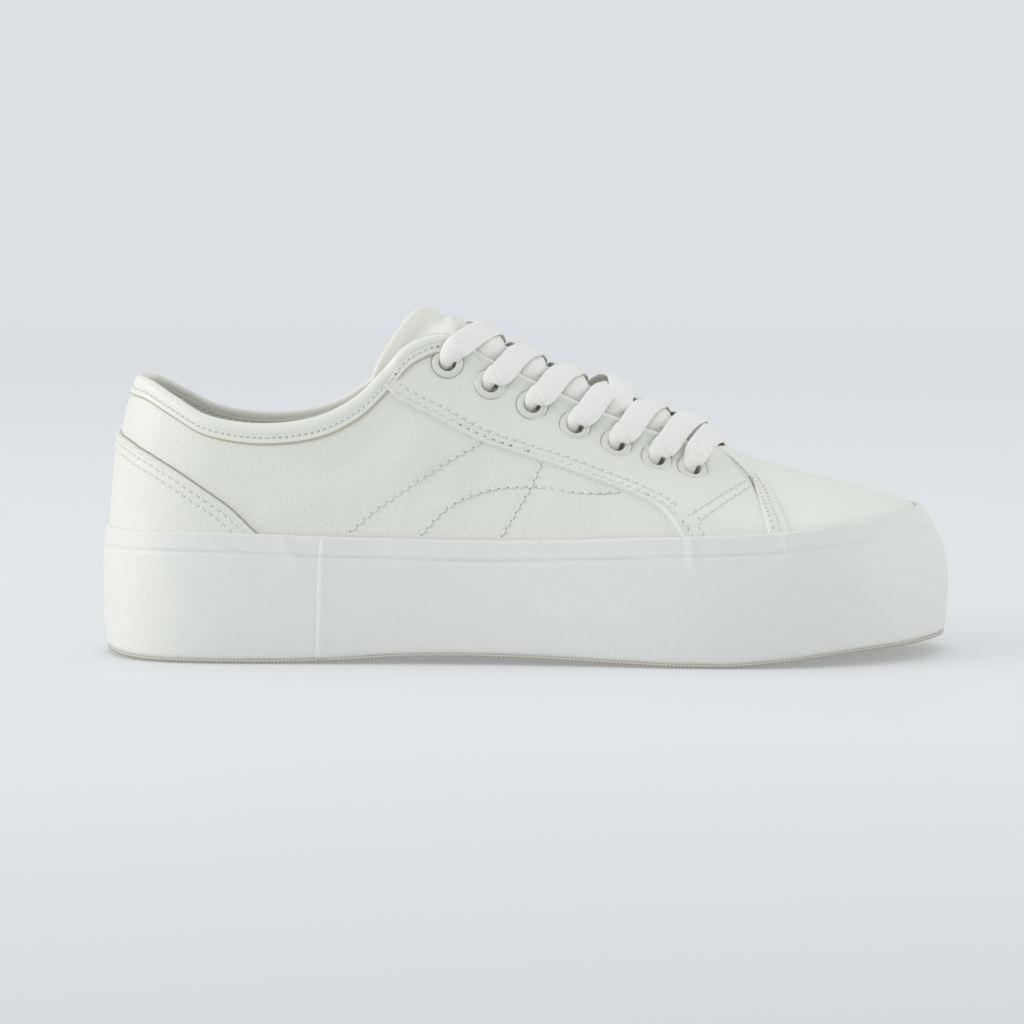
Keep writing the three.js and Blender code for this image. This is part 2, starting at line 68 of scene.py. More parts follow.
SOLE_NAMES = ("at", "lat", "med", "top", "bottom", "over")
SOLE_ROWS = (
    (0.000, 0.000, 0.000, 42.5, 1.6, 1.3), (0.010, 0.279, 0.269, 42.6, 1.1, 1.3),
    (0.037, 0.510, 0.490, 42.8, 0.3, 1.3), (0.078, 0.654, 0.631, 43.0, 0.0, 1.3),
    (0.131, 0.723, 0.688, 43.0, 0.0, 1.3), (0.202, 0.746, 0.688, 42.2, 0.0, 1.4),
    (0.277, 0.754, 0.654, 41.5, 0.6, 1.5), (0.337, 0.762, 0.627, 41.1, 1.7, 1.5),
    (0.383, 0.773, 0.615, 40.8, 2.2, 1.5), (0.422, 0.787, 0.613, 40.6, 2.3, 1.6),
    (0.465, 0.806, 0.621, 40.5, 2.1, 1.7), (0.514, 0.838, 0.650, 40.7, 1.8, 1.8),
    (0.571, 0.888, 0.715, 41.3, 1.1, 2.0), (0.628, 0.942, 0.808, 42.0, 0.4, 2.2),
    (0.677, 0.981, 0.888, 42.5, 0.0, 2.5), (0.734, 1.000, 0.962, 43.0, 0.0, 3.0),
    (0.805, 0.977, 0.996, 44.0, 1.8, 4.0), (0.872, 0.856, 0.950, 45.8, 3.8, 5.3),
    (0.926, 0.673, 0.827, 47.3, 4.8, 6.8), (0.965, 0.452, 0.635, 48.2, 5.4, 8.0),
    (0.991, 0.173, 0.394, 48.5, 5.7, 8.8), (1.000, -0.115, 0.115, 48.5, 5.8, 9.0),
)
EDGE_NAMES = ("at", "lat", "med", "up", "slope", "low", "high")
EDGE_ROWS = (
    (0.047, 0.000, 0.000, 0.863, 53, 0.39, 0.25), (0.051, 0.175, 0.167, 0.860, 54, 0.39, 0.25),
    (0.065, 0.315, 0.300, 0.849, 60, 0.38, 0.25), (0.093, 0.450, 0.423, 0.806, 70, 0.36, 0.27),
    (0.131, 0.560, 0.523, 0.752, 78, 0.35, 0.30), (0.190, 0.600, 0.560, 0.728, 80, 0.35, 0.30),
    (0.253, 0.606, 0.563, 0.746, 78, 0.35, 0.32), (0.300, 0.588, 0.550, 0.805, 75, 0.37, 0.36),
    (0.335, 0.563, 0.530, 0.893, 72, 0.40, 0.40), (0.363, 0.519, 0.495, 0.969, 70, 0.42, 0.42),
    (0.405, 0.465, 0.450, 0.999, 68, 0.44, 0.44), (0.447, 0.452, 0.440, 0.934, 67, 0.45, 0.44),
    (0.500, 0.452, 0.440, 0.864, 67, 0.42, 0.44), (0.553, 0.452, 0.440, 0.798, 70, 0.34, 0.46),
    (0.603, 0.440, 0.430, 0.743, 72, 0.27, 0.47), (0.650, 0.410, 0.400, 0.696, 73, 0.21, 0.46),
    (0.690, 0.355, 0.350, 0.663, 70, 0.17, 0.44), (0.713, 0.245, 0.260, 0.648, 57, 0.15, 0.38),
    (0.725, 0.145, 0.185, 0.644, 40, 0.14, 0.35), (0.7305, 0.067, 0.125, 0.642, 32, 0.12, 0.35),
    (0.733, 0.019, 0.077, 0.641, 27, 0.105, 0.35), (0.7335, -0.029, 0.029, 0.641, 26, 0.105, 0.35),
)
# Each eyelet's station and its distance under the edge.
EYELETS = ((9.80, 10.5), (10.92, 11.5), (11.84, 11.5), (12.78, 11.5), (13.74, 11.5), (14.70, 11.5),
           (15.60, 11.5))
LAST = len(SOLE_ROWS) - 1
ROUND = 2 * LAST

# ---- Outlines seen on the lateral side, as (x, z); the medial side has the same ones. The heel
# counter's edge is (station, z). ----
COUNTER_EDGE = ((0.0, 73.5), (1.0, 72.2), (2.0, 69.0), (3.0, 63.8), (4.0, 55.4), (4.36, 50.9), (4.63, 45.8),
                (4.80, 42.4), (4.90, 40.4))
STAY_LOW = ((-46.5, 90.2), (-44.4, 87.9), (-30.0, 79.6), (-15.2, 72.1), (-2.0, 67.6), (10.7, 63.7),
            (24.0, 58.9), (36.4, 54.3), (43.5, 50.6), (47.2, 46.4), (49.6, 42.4), (51.4, 38.6))
STAY_FRONT = ((63.2, 67.6), (66.6, 64.6), (70.1, 60.8), (73.3, 56.6), (76.2, 49.5), (78.6, 43.0),
              (79.8, 38.6))
STRIP_BACK = ((73.4, 59.2), (74.2, 56.6), (75.1, 52.6), (76.8, 46.6), (78.6, 38.6))
STRIP_FRONT = ((75.8, 59.9), (77.8, 57.8), (80.3, 54.2), (82.8, 49.0), (86.4, 38.6))
STRIP_ROWS = (((73.4, 59.2), (75.2, 55.6), (77.6, 49.0), (79.6, 42.0)),
              ((75.2, 59.4), (77.4, 56.0), (79.3, 50.4), (82.4, 42.0)))
STEM = ((50.4, 46.6), (52.0, 44.7), (53.2, 41.6))
STEM_FRONT = ((55.4, 47.6), (55.6, 44.7), (56.9, 41.6))
ARM = ((52.2, 48.4), (61.5, 53.0), (71.2, 57.5))
ARM_LOW = ((55.6, 46.8), (63.1, 51.1), (72.4, 55.6))
DECOR = (
    ((-57.4, 43.0), (-49.0, 50.0), (-41.1, 55.4), (-28.2, 64.1), (-14.6, 71.8)),
    ((-8.3, 41.6), (-3.9, 49.0), (1.0, 57.1), (4.6, 65.0)),
    ((-34.4, 42.0), (-26.0, 50.5), (-14.0, 56.0), (2.0, 57.6), (18.0, 55.8), (30.0, 56.0)),
)


# ---- Columns as smooth functions of the station ----
def closed_table(names, rows):
    """Each column's values once round the shoe, with side as -lat and then +med."""
    made = {n: np.array([r[i] for r in rows] + [r[i] for r in rows[-2:0:-1]]) for i, n in enumerate(names)}
    made["side"] = np.concatenate([-made["lat"][:LAST + 1], made["med"][LAST + 1:]])
    return made


SOLE = closed_table(SOLE_NAMES, SOLE_ROWS)
EDGE = closed_table(EDGE_NAMES, EDGE_ROWS)


def column(table, name, s):
    k = np.floor(s).astype(int)
    t = s - k
    a, b, c, d = (table[name][(k + i) % ROUND] for i in (-1, 0, 1, 2))
    cubic = (2 * a - 5 * b + 4 * c - d) * t + (3 * b - a - 3 * c + d) * t * t
    return b + 0.5 * t * (c - a + cubic)


def unit(v):
    return v / np.maximum(np.linalg.norm(v, axis=-1, keepdims=True), 1e-9)


def along(fraction):
    return (fraction - 0.5) * LENGTH


def across(fraction):
    return fraction * BALL_WIDTH / 2


def stack(x, y, z):
    return np.stack(np.broadcast_arrays(x, y, z), -1)


def step(t):
    """A smooth rise from 0 to 1."""
    t = np.clip(t, 0, 1)
    return t * t * (3 - 2 * t)


def circle(count):
    """Angles an even way apart, once round."""
    return np.linspace(0, 2 * math.pi, count + 1)[:-1]


def rounded(t, power):
    """A sine or cosine swelled toward a square's."""
    return np.sign(t) * np.abs(t) ** power


def quarter_round(distance, radius):
    """How full an edge of this radius stands at a distance from its border."""
    return np.sqrt(1 - (1 - np.clip(distance / radius, 0, 1)) ** 2)


def run_along(points):
    """The distance covered at each point of a line."""
    return np.append(0, np.cumsum(np.linalg.norm(np.diff(points, axis=0), axis=1)))


# ---- The sole's own surfaces ----
def outline(s):
    return stack(along(column(SOLE, "at", s)), across(column(SOLE, "side", s)), 0.0)


def inward(s):
    ahead = outline(s + 0.02) - outline(s - 0.02)
    return unit(stack(-ahead[..., 1], ahead[..., 0], 0.0))


def bottom_at(s):
    return np.maximum(0, column(SOLE, "bottom", s))


def top_at(s):
    return column(SOLE, "top", s)


def deck_at(s):
    return DECK + DECK_FOLLOW * bottom_at(s)


def sidewall(s, z, depth):
    """Points of the sidewall at height z, set in by depth from its outer face."""
    s, z, depth = np.broadcast_arrays(np.asarray(s, float), z, depth)
    t = (z - bottom_at(s)) / (top_at(s) - bottom_at(s))
    below = np.maximum(0, (BELLY - t) / BELLY)
    above = np.maximum(0, (t - BELLY) / (1 - BELLY))
    inset = UNDERCUT * below ** 2 + column(SOLE, "over", s) * above ** SHOULDER
    p = outline(s) + inward(s) * (inset + depth)[..., None]
    p[..., 2] = z
    return p


# ---- The upper's own surface: place 0 at the deck, TUCK just under the foxing's top, 1 at the edge ----
def section(s):
    """The four control points of the section at each station."""
    level = top_at(s) - HIDDEN
    foot = sidewall(s, level, FOXING + GAP)
    rise = unit(foot - sidewall(s, level - 2, FOXING + GAP))
    height = column(EDGE, "up", s) * INSTEP
    edge = stack(along(column(EDGE, "at", s)), across(column(EDGE, "side", s)), height)
    span = np.linalg.norm(foot - edge, axis=-1, keepdims=True)
    angle = np.radians(column(EDGE, "slope", s))[..., None]
    outward = unit((foot - edge) * (1, 1, 0))
    lean = outward * np.cos(angle) - np.array((0, 0, 1)) * np.sin(angle)
    shoulder = foot + rise * span * column(EDGE, "low", s)[..., None]
    brow = edge + lean * span * column(EDGE, "high", s)[..., None]
    return foot, shoulder, brow, edge


def bezier(points, u):
    a, b, c, d = points
    u = np.asarray(u)[..., None]
    return a * (1 - u) ** 3 + 3 * b * u * (1 - u) ** 2 + 3 * c * u * u * (1 - u) + d * u ** 3


def tucked(s, v, out):
    base = deck_at(s) + GAP
    return sidewall(s, base + (top_at(s) - HIDDEN - base) * (v / TUCK), FOXING + GAP - out)


def skin(s, v):
    s, v = np.broadcast_arrays(np.asarray(s, float), np.asarray(v, float))
    free = bezier(section(s), np.clip((v - TUCK) / (1 - TUCK), 0, 1.2))
    return np.where((v > TUCK)[..., None], free, tucked(s, v, 0.0))


def skin_normal(s, v):
    s, v = np.broadcast_arrays(np.asarray(s, float), np.asarray(v, float))
    ahead = skin(s + 0.05, v) - skin(s - 0.05, v)
    upward = skin(s, np.minimum(1, v + 0.01)) - skin(s, np.maximum(0, v - 0.01))
    return unit(np.cross(ahead, upward))


def off_skin(s, v, out):
    """Points set out from the skin, or in where out is negative."""
    s, v, out = np.broadcast_arrays(np.asarray(s, float), np.asarray(v, float), np.asarray(out, float))
    free = skin(s, v) + skin_normal(s, v) * out[..., None]
    return np.where((v > TUCK)[..., None], free, tucked(s, v, out))


def below(s, distance):
    """The place that lies a distance under the edge, measured along the section."""
    s, distance = np.broadcast_arrays(np.asarray(s, float), np.asarray(distance, float))
    u = np.linspace(1, 0, 81)
    lines = bezier([p[..., None, :] for p in section(s)], u)
    run = np.cumsum(np.linalg.norm(np.diff(lines, axis=-2), axis=-1), axis=-1).reshape(-1, 80)
    found = [np.interp(d, np.append(0, r), u) for d, r in zip(distance.ravel(), run)]
    return TUCK + (1 - TUCK) * np.array(found).reshape(s.shape)


# ---- Curves on the skin, as rows of (station, place) ----
def points_of(curve):
    return skin(curve[:, 0], curve[:, 1])


def smooth(points, count):
    """A smooth line through points, as count points an equal way apart."""
    p = np.asarray(points, float)
    t = run_along(p)
    slope = np.gradient(p, t, axis=0)
    fine = np.linspace(0, t[-1], 400)
    k = np.clip(np.searchsorted(t, fine, side="right") - 1, 0, len(t) - 2)
    h = (t[k + 1] - t[k])[:, None]
    u = ((fine - t[k]) / h[:, 0])[:, None]
    line = (p[k] * (2 * u ** 3 - 3 * u * u + 1) + slope[k] * h * (u ** 3 - 2 * u * u + u)
            + p[k + 1] * (3 * u * u - 2 * u ** 3) + slope[k + 1] * h * (u ** 3 - u * u))
    return even(line, count, line)


def even(values, count, measured):
    """values read at count points an equal way apart along the line of measured points."""
    run = run_along(measured)
    at = np.linspace(0, run[-1], count)
    return np.stack([np.interp(at, run, values[:, i]) for i in range(values.shape[1])], 1)


PATCH_S = np.linspace(0, LAST, 421)
PATCH_V = np.linspace(0.02, 1, 99)
PATCH = skin(PATCH_S[:, None], PATCH_V[None, :])[..., [0, 2]].reshape(-1, 2)


def spots(xz):
    """Where the lateral skin has these (x, z), as (station, place)."""
    xz = np.asarray(xz, float)
    nearest = [int(np.argmin(((PATCH - q) ** 2).sum(1))) for q in xz]
    s = PATCH_S[np.array(nearest) // len(PATCH_V)]
    v = PATCH_V[np.array(nearest) % len(PATCH_V)]
    for _ in range(8):
        here = skin(s, v)[:, [0, 2]]
        ds = (skin(s + 0.01, v) - skin(s - 0.01, v))[:, [0, 2]] / 0.02
        dv = (skin(s, v + 0.002) - skin(s, v - 0.002))[:, [0, 2]] / 0.004
        miss = xz - here
        det = ds[:, 0] * dv[:, 1] - ds[:, 1] * dv[:, 0]
        det = np.where(np.abs(det) < 1e-3, 1e-3, det)
        s = s + np.clip((miss[:, 0] * dv[:, 1] - miss[:, 1] * dv[:, 0]) / det, -0.3, 0.3)
        move = np.clip((ds[:, 0] * miss[:, 1] - ds[:, 1] * miss[:, 0]) / det, -0.05, 0.05)
        v = np.clip(v + move, 0.01, 1.0)
    return np.stack([s, v], 1)


def on_skin(outline_xz, count=160):
    curve = spots(smooth(outline_xz, count))
    return even(curve, count, points_of(curve))


def shifted(curve, distance):
    """The curve moved sideways on the skin; a curve that runs toward the toe moves up."""
    s, v = curve[:, 0], curve[:, 1]
    p = skin(s, v)
    side = np.cross(skin_normal(s, v), unit(np.gradient(p, axis=0))) * np.asarray(distance)[..., None]
    ds = (skin(s + 0.02, v) - skin(s - 0.02, v)) / 0.04
    dv = (skin(s, v + 0.004) - skin(s, v - 0.004)) / 0.008
    moved = []
    for a, b, w in zip(ds, dv, side):
        moved.append(np.linalg.lstsq(np.stack([a, b], 1), w, rcond=None)[0])
    return curve + np.array(moved)


def shifted_up(curve, distance):
    """The curve moved the same way on either side of the shoe."""
    return shifted(curve, distance if curve[0, 0] < LAST else -distance)


def other_side(curve):
    """The same curve on the medial side."""
    return np.stack([ROUND - curve[:, 0], curve[:, 1]], 1)


def both_sides(curve):
    return [curve, other_side(curve)]


# ---- Forms: (points, faces) that join into one mesh ----
def grid(points, closed=False, flip=False):
    n, m = points.shape[:2]
    ids = np.arange(n * m).reshape(n, m)
    if closed:
        ids = np.vstack([ids, ids[:1]])
    a, b, c, d = ids[:-1, :-1], ids[1:, :-1], ids[1:, 1:], ids[:-1, 1:]
    order = (a, d, c, b) if flip else (a, b, c, d)
    return points.reshape(-1, 3), np.stack([x.ravel() for x in order], 1)


def slab(outer, inner, flip=False):
    """A closed sheet between two grids of points [along][across]."""
    n, m = outer.shape[:2]
    top, under = np.arange(2 * n * m).reshape(2, n, m)
    faces = []

    def quads(a, b, c, d):
        faces.append(np.stack([x.ravel() for x in (a, b, c, d)], 1))

    quads(top[:-1, :-1], top[1:, :-1], top[1:, 1:], top[:-1, 1:])
    quads(under[:-1, :-1], under[:-1, 1:], under[1:, 1:], under[1:, :-1])
    quads(top[:-1, 0], under[:-1, 0], under[1:, 0], top[1:, 0])
    quads(top[:-1, -1], top[1:, -1], under[1:, -1], under[:-1, -1])
    quads(top[0, :-1], top[0, 1:], under[0, 1:], under[0, :-1])
    quads(top[-1, :-1], under[-1, :-1], under[-1, 1:], top[-1, 1:])
    faces = np.concatenate(faces)
    return np.concatenate([outer.reshape(-1, 3), inner.reshape(-1, 3)]), faces[:, ::-1] if flip else faces


def tube(rings, closed=False, flip=False):
    """A tube through rings of points [along][round]; its ends are capped unless it is closed."""
    n, m = rings.shape[:2]
    ids = np.arange(n * m).reshape(n, m)
    wrap = np.hstack([ids, ids[:, :1]])
    if closed:
        wrap = np.vstack([wrap, wrap[:1]])
    faces = [np.stack([x.ravel() for x in (wrap[:-1, :-1], wrap[1:, :-1], wrap[1:, 1:], wrap[:-1, 1:])], 1)]
    if not closed:
        half = m // 2
        for row, turn in ((ids[0], 1), (ids[-1], -1)):
            cap = [(row[k], row[k + 1], row[(m - k - 1) % m], row[(m - k) % m]) for k in range(half)]
            faces.append(np.array([q[::turn] for q in cap]))
    faces = np.concatenate(faces)
    return rings.reshape(-1, 3), faces[:, ::-1] if flip else faces


def join(forms):
    points, faces, start = [], [], 0
    for p, f in forms:
        points.append(p)
        faces.append(f + start)
        start += len(p)
    return np.concatenate(points), np.concatenate(faces)


def placed(name, data):
    made = bpy.data.objects.new(name, data)
    bpy.context.scene.collection.objects.link(made)
    return made


def piece(name, forms, material, replaces=(), weave=None, drop=None, second=None):
    """A smooth mesh on the frame. drop says which faces are left out, weave is (along, across) at each point,
    and second is a further material with a test of which faces take it."""
    points, faces = join(forms)
    if drop is not None:
        faces = faces[~drop(points[faces].mean(1))]
    kept = [tuple(dict.fromkeys(f)) for f in faces.tolist()]
    kept = [f for f in kept if len(f) > 2]
    mesh = bpy.data.meshes.new(name)
    mesh.from_pydata((points * MM).tolist(), [], kept)
    mesh.validate()
    mesh.shade_smooth()
    if weave is not None:
        layer = mesh.attributes.new("weave", "FLOAT_VECTOR", "POINT")
        layer.data.foreach_set("vector", np.concatenate(weave).astype(np.float32).ravel())
    made = placed(name, mesh)
    made.data.materials.append(material)
    if second:
        made.data.materials.append(second[0])
        middles = np.array([points[list(f)].mean(0) for f in kept])
        made.data.polygons.foreach_set("material_index", second[1](middles).astype(np.int32))
    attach(made, "root")
    if replaces:
        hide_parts(*replaces)
    return made


# ---- Materials ----
class Shader:
    """A Principled material whose colour, roughness and bump come from a few named textures."""

    def __init__(self, name, color, roughness, **sockets):
        self.made = bpy.data.materials.new(name)
        self.made.use_nodes = True
        self.nodes, self.links = self.made.node_tree.nodes, self.made.node_tree.links
        self.shader = self.nodes["Principled BSDF"]
        self.color = color
        self.shader.inputs["Base Color"].default_value = (*color, 1)
        self.shader.inputs["Roughness"].default_value = roughness
        for key, value in sockets.items():
            self.shader.inputs[key.replace("_", " ")].default_value = value
        self.where = self.nodes.new("ShaderNodeTexCoord").outputs["Object"]
        self.height = None

    def node(self, kind, values=(), **links):
        made = self.nodes.new(kind)
        for key, value in dict(values).items():
            if key in made.inputs:
                made.inputs[key].default_value = value
            else:
                setattr(made, key, value)
        for key, source in links.items():
            self.links.new(source, made.inputs[key])
        return made

    def spread(self, x, y, z):
        """The object's coordinates scaled on each axis, in repeats per metre."""
        made = self.node("ShaderNodeMapping", {"Scale": (x, y, z)}, Vector=self.where)
        return made.outputs["Vector"]

    def noise(self, scale, detail=3.0, distortion=0.0, stretch=(1, 1, 1)):
        where = self.spread(*[k * scale for k in stretch])
        values = {"Scale": 1.0, "Detail": detail, "Distortion": distortion}
        return self.node("ShaderNodeTexNoise", values, Vector=where).outputs["Fac"]

    def cells(self, scale, stretch=(1, 1, 1)):
        where = self.spread(*[k * scale for k in stretch])
        values = {"feature": "SMOOTH_F1", "Scale": 1.0}
        return self.node("ShaderNodeTexVoronoi", values, Vector=where).outputs["Distance"]

    def math(self, operation, a, b):
        made = self.node("ShaderNodeMath", {"operation": operation})
        for socket, value in zip(made.inputs, (a, b)):
            if isinstance(value, (int, float)):
                socket.default_value = value
            else:
                self.links.new(value, socket)
        return made.outputs[0]

    def between(self, fac, low, high):
        """fac stretched from its usual range to low..high."""
        values = {"From Min": 0.3, "From Max": 0.7, "To Min": low, "To Max": high}
        return self.node("ShaderNodeMapRange", values, Value=fac).outputs["Result"]

    def tint(self, fac, other):
        """The base colour turns to other as fac grows."""
        socket = self.shader.inputs["Base Color"]
        mixed = self.node("ShaderNodeMix", {"data_type": "RGBA"})
        self.links.new(fac, mixed.inputs[0])
        mixed.inputs[6].default_value = (*self.color, 1)
        mixed.inputs[7].default_value = (*other, 1)
        if socket.is_linked:
            self.links.new(socket.links[0].from_socket, mixed.inputs[6])
        self.links.new(mixed.outputs[2], socket)

    def mottle(self, fac, most, share):
        """The base colour darkens in patches toward a share of itself."""
        self.tint(self.between(fac, 0.0, most), tuple(c * share for c in self.color))

    def rough(self, fac, low, high):
        self.links.new(self.between(fac, low, high), self.shader.inputs["Roughness"])

    def bump(self, height, millimetres, strength=1.0):
        values = {"Distance": millimetres * MM, "Strength": strength}
        made = self.node("ShaderNodeBump", values, Height=height)
        if self.height is not None:
            self.links.new(self.height, made.inputs["Normal"])
        self.height = made.outputs["Normal"]
        self.links.new(self.height, self.shader.inputs["Normal"])


def leather_like(name, color, grain=0.20, creases=0.07):
    m = Shader(name, color, 0.5, Specular_IOR_Level=0.42, Coat_Weight=0.06, Coat_Roughness=0.35)
    m.mottle(m.noise(28, 4), 0.35, 0.94)
    m.mottle(m.noise(900, 2), 0.12, 0.86)
    m.rough(m.noise(60, 3), 0.44, 0.6)
    m.bump(m.noise(230, 3, 0.4, stretch=(1.0, 1.0, 0.42)), creases, 0.6)
    m.bump(m.cells(1150, stretch=(1.0, 1.0, 0.75)), grain, 0.8)
    m.bump(m.noise(2600, 2), 0.02, 0.5)
    return m.made


def smooth_leather(name, color):
    m = Shader(name, color, 0.48, Specular_IOR_Level=0.45, Coat_Weight=0.08, Coat_Roughness=0.3)
    m.mottle(m.noise(24, 3), 0.3, 0.95)
    m.rough(m.noise(70, 3), 0.42, 0.56)
    m.bump(m.cells(1000), 0.10, 0.6)
    m.bump(m.noise(160, 3), 0.05, 0.4)
    return m.made


def rubber_like(name, color, pebble=0.12):
    m = Shader(name, color, 0.5, Specular_IOR_Level=0.4)
    m.mottle(m.noise(20, 4), 0.3, 0.96)
    m.rough(m.noise(45, 4), 0.42, 0.6)
    m.bump(m.cells(850), pebble, 0.7)
    m.bump(m.noise(700, 3), pebble * 0.5, 0.6)
    m.bump(m.noise(60, 2, stretch=(0.5, 0.5, 1.4)), 0.12, 0.35)
    return m.made


def cloth_like(name, color, pitch=0.7):
    m = Shader(name, color, 0.85, Sheen_Weight=0.25, Sheen_Roughness=0.4, Specular_IOR_Level=0.25)
    per_metre = 1000 / pitch
    m.mottle(m.noise(60, 4), 0.3, 0.92)
    m.mottle(m.noise(per_metre * 0.8, 2), 0.2, 0.8)
    m.bump(m.cells(per_metre), 0.12, 0.6)
    m.bump(m.noise(2500, 2), 0.03, 0.5)
    return m.made


THREAD_SLANT = 0.62


def lace_cotton(name, color):
    """A flat woven lace: fine ribs along it, crossed by slanting threads, with painted shade in the weave's
    hollows.
    """
    m = Shader(name, color, 0.82, Sheen_Weight=0.3, Sheen_Roughness=0.35, Specular_IOR_Level=0.25)
    weave = m.node("ShaderNodeAttribute", {"attribute_name": "weave"}).outputs["Vector"]
    turned = []
    for angle in (THREAD_SLANT, -THREAD_SLANT):
        spun = m.node("ShaderNodeVectorRotate", {"rotation_type": "Z_AXIS", "Angle": angle}, Vector=weave)
        slanting = {"Scale": 0.46, "Distortion": 0.6, "Detail": 1.0}
        wave = m.node("ShaderNodeTexWave", slanting, Vector=spun.outputs["Vector"])
        turned.append(wave.outputs["Fac"])
    both = m.math("MULTIPLY", turned[0], turned[1])
    lengthwise = {"Scale": 0.35, "bands_direction": "Y", "Distortion": 0.3}
    ribs = m.node("ShaderNodeTexWave", lengthwise, Vector=weave).outputs["Fac"]
    # Painted shade: where the threads and ribs stand low, the colour darkens.
    for height, most, share in ((both, 0.15, 0.72), (ribs, 0.08, 0.85)):
        hollow_shade = m.math("SUBTRACT", 1.0, height)
        m.tint(m.math("MULTIPLY", hollow_shade, most), tuple(c * share for c in color))
    m.bump(ribs, 0.13, 0.55)
    m.bump(both, 0.15, 0.6)
    m.bump(m.noise(2500, 3), 0.05, 0.5)
    return m.made


def enamel_like(name, color):
    m = Shader(name, color, 0.3, Specular_IOR_Level=0.5, Coat_Weight=0.25, Coat_Roughness=0.15)
    m.mottle(m.noise(400, 3), 0.2, 0.9)
    m.rough(m.noise(500, 3), 0.26, 0.4)
    m.bump(m.noise(900, 2), 0.02, 0.4)
    return m.made


QUARTER = leather_like("quarter_leather", (0.765, 0.772, 0.705))
VAMP = smooth_leather("smooth_leather", (0.785, 0.788, 0.722))
TONGUE_LEATHER = smooth_leather("tongue_leather", (0.755, 0.762, 0.685))
# Raw edges: the leather's own brownish cut-edge colour, darkened further as painted shade of the gaps along
# these edges.
RAW_EDGE_SHADE = cloth_like("raw_edge_and_gap_shade", (0.52, 0.48, 0.36), 0.4)
# Dark colour of the painted shadow line above the heel counter's raised edge.
EDGE_SHADOW = cloth_like("edge_painted_shadow", (0.36, 0.35, 0.26), 0.4)
# Dark colour of the painted shadow ring round each eyelet's flange.
EYELET_SHADOW = cloth_like("eyelet_ring_shadow", (0.42, 0.41, 0.35), 0.4)
LINING = cloth_like("cream_lining", (0.70, 0.71, 0.61), 0.8)
FOX = rubber_like("foxing_rubber", (0.755, 0.757, 0.71))
SOLE_RUBBER = rubber_like("outsole_rubber", (0.58, 0.565, 0.49), 0.05)
FOAM = rubber_like("core_foam", (0.74, 0.74, 0.70), 0.1)
COTTON = lace_cotton("lace_cotton", (0.90, 0.895, 0.84))
ENAMEL = enamel_like("eyelet_enamel", (0.70, 0.705, 0.645))
THREAD = cloth_like("stitch_thread", (0.80, 0.81, 0.76), 0.35)
# Needle holes: near-black as painted shade inside each hole.
NEEDLE_HOLE_SHADE = cloth_like("needle_hole_painted_shade", (0.27, 0.26, 0.20), 0.3)

# ---- Soft shapes that the skin takes ----
# Creases: (x, z, direction in degrees, length, width, depth); a negative depth is a ridge.
CREASES = (
    (-52.0, 70.0, 40, 34, 5.0, 0.45), (-40.0, 66.0, 48, 30, 6.0, -0.40), (-30.0, 60.0, 62, 26, 4.0, 0.30),
    (-80.0, 62.0, 12, 40, 8.0, 0.30), (-66.0, 56.0, 24, 30, 6.0, -0.25), (-16.0, 58.0, 75, 24, 4.5, 0.28),
    (8.0, 52.0, 80, 18, 4.0, -0.25), (24.0, 50.0, 84, 16, 4.0, 0.25), (92.0, 56.0, 70, 16, 3.5, 0.14),
    (84.0, 58.0, 60, 15, 3.0, -0.10),
)


def crease_depth(p):
    """How far the skin is pressed in at points p."""
    total = np.zeros(p.shape[:-1])
    for x, z, degrees, length, width, depth in CREASES:
        run, rise = math.cos(math.radians(degrees)), math.sin(math.radians(degrees))
        dx, dz = p[..., 0] - x, p[..., 2] - z
        lengthwise = (dx * run + dz * rise) / length
        sideways = (dz * run - dx * rise) / width
        total += depth * np.exp(-(2 * lengthwise) ** 2 - sideways ** 2)
    return total


def hole_frames():
    """Each eyelet's (middle on the skin, outward direction, uphill direction)."""
    found = []
    for lateral in (True, False):
        for station, distance in EYELETS:
            s = np.array(station if lateral else ROUND - station)
            v = below(s, distance)
            middle = skin(s, v)
            found.append((middle, skin_normal(s, v), unit(skin(s, v + 0.02) - middle)))
    return found


HOLES = hole_frames()
HOLE_MIDDLES = np.array([middle for middle, _, _ in HOLES])
CUT_RADIUS = 4.3
DIMPLE = 0.30


def hole_distance(p):
    """How far points p lie from the nearest eyelet's middle."""
    flat = p.reshape(-1, 3)
    return np.linalg.norm(flat[:, None, :] - HOLE_MIDDLES[None], axis=-1).min(1).reshape(p.shape[:-1])


def over_hole(p):
    return hole_distance(p) < CUT_RADIUS


def dimple(p):
    """The leather sinks a little round each eyelet."""
    return DIMPLE * np.exp(-((hole_distance(p) - 4.6) / 1.6) ** 2)


def distance_to(line, p):
    tree = KDTree(len(line))
    for i, q in enumerate(line):
        tree.insert(q, i)
    tree.balance()
    return np.array([tree.find(q)[2] for q in p.reshape(-1, 3)]).reshape(p.shape[:-1])


